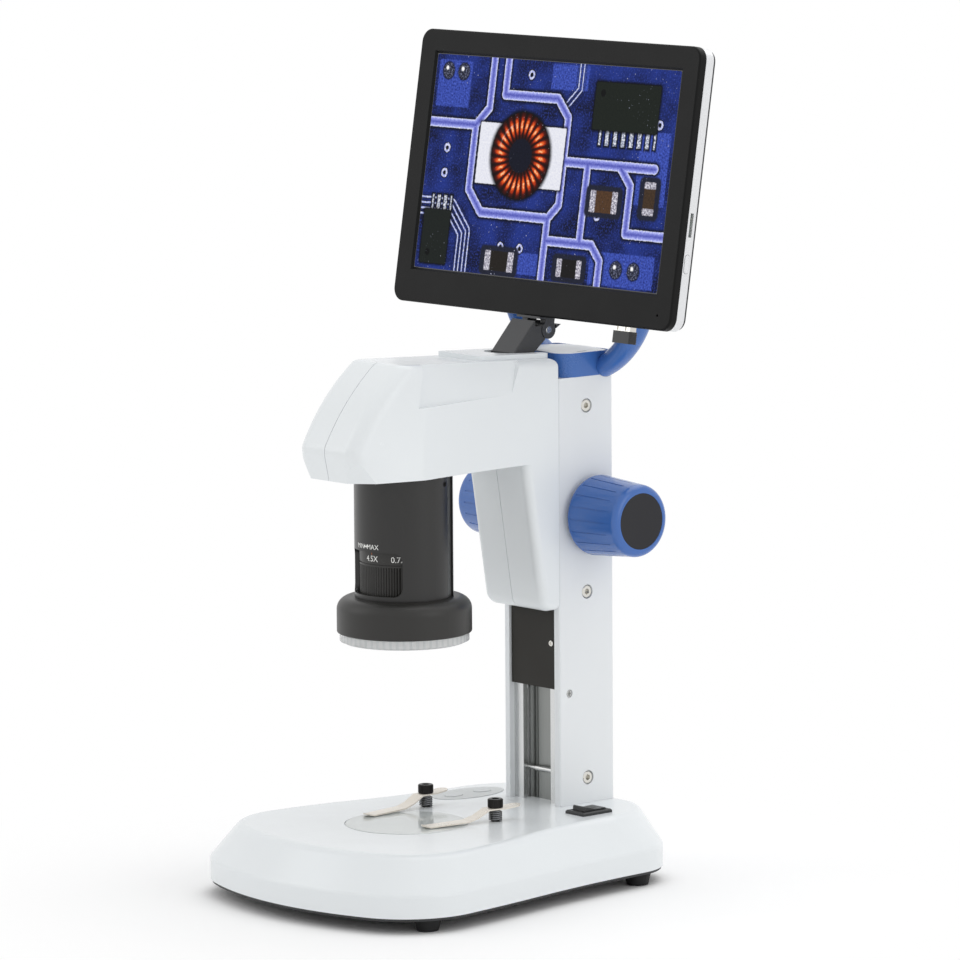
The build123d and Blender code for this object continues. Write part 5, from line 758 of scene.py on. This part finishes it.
def zoom_lettering(materials):
    """MIN and MAX on the tube, numbers on the zoom ring's band, and the index mark."""
    ink = materials["ink_white"]
    tube_r = radius_of("zoom_tube") + TEXT_RISE
    ring_r = radius_of("zoom_ring") + TEXT_RISE
    for words, degrees in (("MIN", MIN_TURN), ("MAX", MAX_TURN)):
        name = "zoom_word_" + words.lower()
        mesh = wrap(text_mesh(name, words, LETTER_H), tube_r, degrees, WORDS_Z)
        link(name, mesh, "head", ink)
    arrow = wrap(double_arrow(), tube_r, ARROW_TURN, WORDS_Z + LETTER_H / 2)
    link("zoom_arrow", arrow, "head", ink)
    for words, degrees in NUMBERS:
        name = "zoom_number_" + words.replace(".", "_").lower()
        mesh = wrap(text_mesh(name, words, NUMBER_H), ring_r, degrees, NUMBERS_Z)
        link(name, mesh, "zoom", ink)
    w, h = INDEX_HALF_W, INDEX_H
    mark = flat_shape("zoom_index", [[(w, 0), (w, h), (-w, h), (-w, 0)]])
    mark = wrap(mark, ring_r, INDEX_TURN, NUMBERS_Z + NUMBER_H + INDEX_GAP)
    link("zoom_index", mark, "zoom", materials["ink_orange"])


SCREW_SIDES = 48
SCREW_NECK, SCREW_CROWN = 0.6, 0.86     # shares of the head's radius, below and on top
SCREW_WALL = 0.7                        # upright part of the head's side, as a share of its height
SOCKET_INSIDE, SOCKET_FLOOR = 0.8, 0.35     # the hexagon in its rim, and its floor's height


def screw_mesh(name, head_r, head_t, socket_r):
    """Small round screw head along +Z with a six-sided socket."""
    form = bmesh.new()
    turns = [2 * pi * i / SCREW_SIDES for i in range(SCREW_SIDES)]

    def ring(radii, z):
        return [form.verts.new((r * cos(a), r * sin(a), z)) for r, a in zip(radii, turns)]

    outline = [(head_r * SCREW_NECK, 0), (head_r, 0), (head_r, head_t * SCREW_WALL),
               (head_r * SCREW_CROWN, head_t), (socket_r, head_t)]
    rings = [ring([r] * SCREW_SIDES, z) for r, z in outline]
    hexagon = [socket_r * SOCKET_INSIDE / cos(a % (pi / 3) - pi / 6) for a in turns]
    rings += [ring(hexagon, z) for z in (head_t, head_t * SOCKET_FLOOR)]
    for first, second in zip(rings, rings[1:]):
        for i in range(SCREW_SIDES):
            j = (i + 1) % SCREW_SIDES
            form.faces.new((first[i], first[j], second[j], second[i]))
    form.faces.new(rings[-1])
    form.faces.new(list(reversed(rings[0])))
    bmesh.ops.recalc_face_normals(form, faces=form.faces)
    return mesh_from(name, form)


# head radius, head height and socket radius of each screw
SET_SCREW = (1.45 * MM, 0.6 * MM, 0.85 * MM)
CARRIAGE_SCREW = (1.7 * MM, 0.7 * MM, 0.9 * MM)
SET_SCREW_TURN, SET_SCREW_Z = 105.7, 227.9 * MM     # degrees round the tube from its front
SET_SCREW_SUNK = 0.9 * MM
CARRIAGE_FACE_SET = 1.3 * MM                        # behind the front of the column's plates
CARRIAGE_SCREW_X, CARRIAGE_SCREW_Z = 15.0 * MM, 130.1 * MM


def small_screws(materials):
    """The lock screw in the tube and the pale screw low on the carriage."""
    r = radius_of("zoom_tube") - SET_SCREW_SUNK
    a = radians(SET_SCREW_TURN)
    place = (Matrix.Translation((LENS_AXIS.x + r * sin(a), LENS_AXIS.y - r * cos(a), SET_SCREW_Z))
             @ Matrix.Rotation(a, 4, "Z") @ Matrix.Rotation(pi / 2, 4, "X"))
    mesh = screw_mesh("tube_set_screw", *SET_SCREW)
    link("tube_set_screw", mesh, "head", materials["black_oxide"], place)
    place = (Matrix.Translation((CARRIAGE_SCREW_X, COLUMN_FRONT + CARRIAGE_FACE_SET, CARRIAGE_SCREW_Z))
             @ Matrix.Rotation(pi / 2, 4, "X"))
    mesh = screw_mesh("carriage_screw", *CARRIAGE_SCREW)
    link("carriage_screw", mesh, "head", materials["nickel"], place)


# ================================================================ floor, light and camera
FLOOR_NEAR, FLOOR_FAR = 0.13, 0.32      # where the floor starts to fade, and where it is plain white
FLOOR_REACH = 12.0
FLOOR_DROP = 0.0002


def open_rays(tree):
    """1 for what the camera, reflections and clear pieces look at, 0 for the light on matt surfaces."""
    paths = tree.nodes.new("ShaderNodeLightPath")
    rays = paths.outputs["Is Camera Ray"]
    for kind in ("Is Glossy Ray", "Is Transmission Ray"):
        either = tree.nodes.new("ShaderNodeMath")
        either.operation = "MAXIMUM"
        tree.links.new(rays, either.inputs[0])
        tree.links.new(paths.outputs[kind], either.inputs[1])
        rays = either.outputs[0]
    return rays


def floor_material():
    """White matt floor that keeps the object's shadow and fades to plain white further off."""
    g = Graph("floor")
    g.shade(Base_Color=colour("ffffff"), Roughness=0.9, Specular_IOR_Level=0.0)
    away = g.vector("LENGTH", g.place((1, 1, 0)))
    fade = g.math("MULTIPLY", g.remap(away, FLOOR_NEAR, FLOOR_FAR, smooth=True), open_rays(g.tree))
    white = g.add("Emission", Color=(1, 1, 1, 1), Strength=1.0)
    mixed = g.tree.nodes.new("ShaderNodeMixShader")
    for socket, value in zip(mixed.inputs, (fade, g.shader.outputs[0], white)):
        g.put(socket, value)
    g.put(g.tree.nodes["Material Output"].inputs["Surface"], mixed.outputs[0])
    return g.material


def make_floor():
    """Pale floor that goes on past the view."""
    mesh = bpy.data.meshes.new("floor")
    corners = [(x * FLOOR_REACH, y * FLOOR_REACH, 0) for x, y in ((-1, -1), (1, -1), (1, 1), (-1, 1))]
    mesh.from_pydata(corners, [], [(0, 1, 2, 3)])
    floor = bpy.data.objects.new("floor", mesh)
    bpy.context.scene.collection.objects.link(floor)
    floor.location.z = -FLOOR_DROP
    paint(floor, floor_material())


ROOM_LIGHT = 0.7        # strength of the white room on matt surfaces


def make_room():
    """Plain white surroundings for the camera and for reflections, softer on the object itself."""
    world = bpy.data.worlds.new("room")
    bpy.context.scene.world = world
    world.use_nodes = True
    tree = world.node_tree
    level = tree.nodes.new("ShaderNodeMapRange")
    tree.links.new(open_rays(tree), level.inputs["Value"])
    level.inputs["To Min"].default_value = ROOM_LIGHT
    level.inputs["To Max"].default_value = 1.0
    background = tree.nodes["Background"]
    background.inputs["Color"].default_value = (1, 1, 1, 1)
    tree.links.new(level.outputs[0], background.inputs["Strength"])


LIGHT_AIM = Vector((0, 0, 0.2))
# place, width, height and watts of each soft light
LIGHTS = {
    "top_light": ((0.1, 0.6, 1.8), 1.8, 1.8, 12.5),
    "left_light": ((-1.3, -1.5, 1.1), 1.2, 1.4, 5.5),
    "right_light": ((2.0, 0.3, 0.9), 1.0, 1.4, 4.5),
}


def soft_light(name, place, width, height, power):
    """A broad lamp that looks at the object."""
    data = bpy.data.lights.new(name, "AREA")
    data.shape, data.size, data.size_y, data.energy = "RECTANGLE", width, height, power
    lamp = bpy.data.objects.new(name, data)
    bpy.context.scene.collection.objects.link(lamp)
    lamp.location = place
    lamp.rotation_mode = "QUATERNION"
    lamp.rotation_quaternion = (LIGHT_AIM - Vector(place)).to_track_quat("-Z", "Y")


CAMERA_PLACE = Vector((2.5866, -2.2041, 0.6907))
CAMERA_TURN, CAMERA_RISE, CAMERA_ROLL = 49.151, 7.786, -0.411   # degrees
CAMERA_LENS = 236.5
CLIP_START, CLIP_END = 0.1, 50.0


def make_camera():
    """The photograph's long-lens view, from the object's front right."""
    turn, rise, roll = radians(CAMERA_TURN), radians(CAMERA_RISE), radians(CAMERA_ROLL)
    right = Vector((cos(turn), sin(turn), 0))
    ahead = Vector((-sin(turn) * cos(rise), cos(turn) * cos(rise), -sin(rise)))
    up = right.cross(ahead)
    x = right * cos(roll) + up * sin(roll)
    y = up * cos(roll) - right * sin(roll)
    data = bpy.data.cameras.new("camera")
    data.lens, data.clip_start, data.clip_end = CAMERA_LENS, CLIP_START, CLIP_END
    camera = bpy.data.objects.new("camera", data)
    bpy.context.scene.collection.objects.link(camera)
    aim = Matrix((x, y, -ahead)).transposed().to_4x4()
    camera.matrix_world = Matrix.Translation(CAMERA_PLACE) @ aim
    bpy.context.scene.camera = camera


def main():
    materials = make_materials()
    paint_nodes(materials)
    screen_picture()
    zoom_lettering(materials)
    small_screws(materials)
    make_floor()
    make_room()
    for name, light in LIGHTS.items():
        soft_light(name, *light)
    make_camera()
    bpy.context.scene.view_settings.view_transform = "Standard"


main()
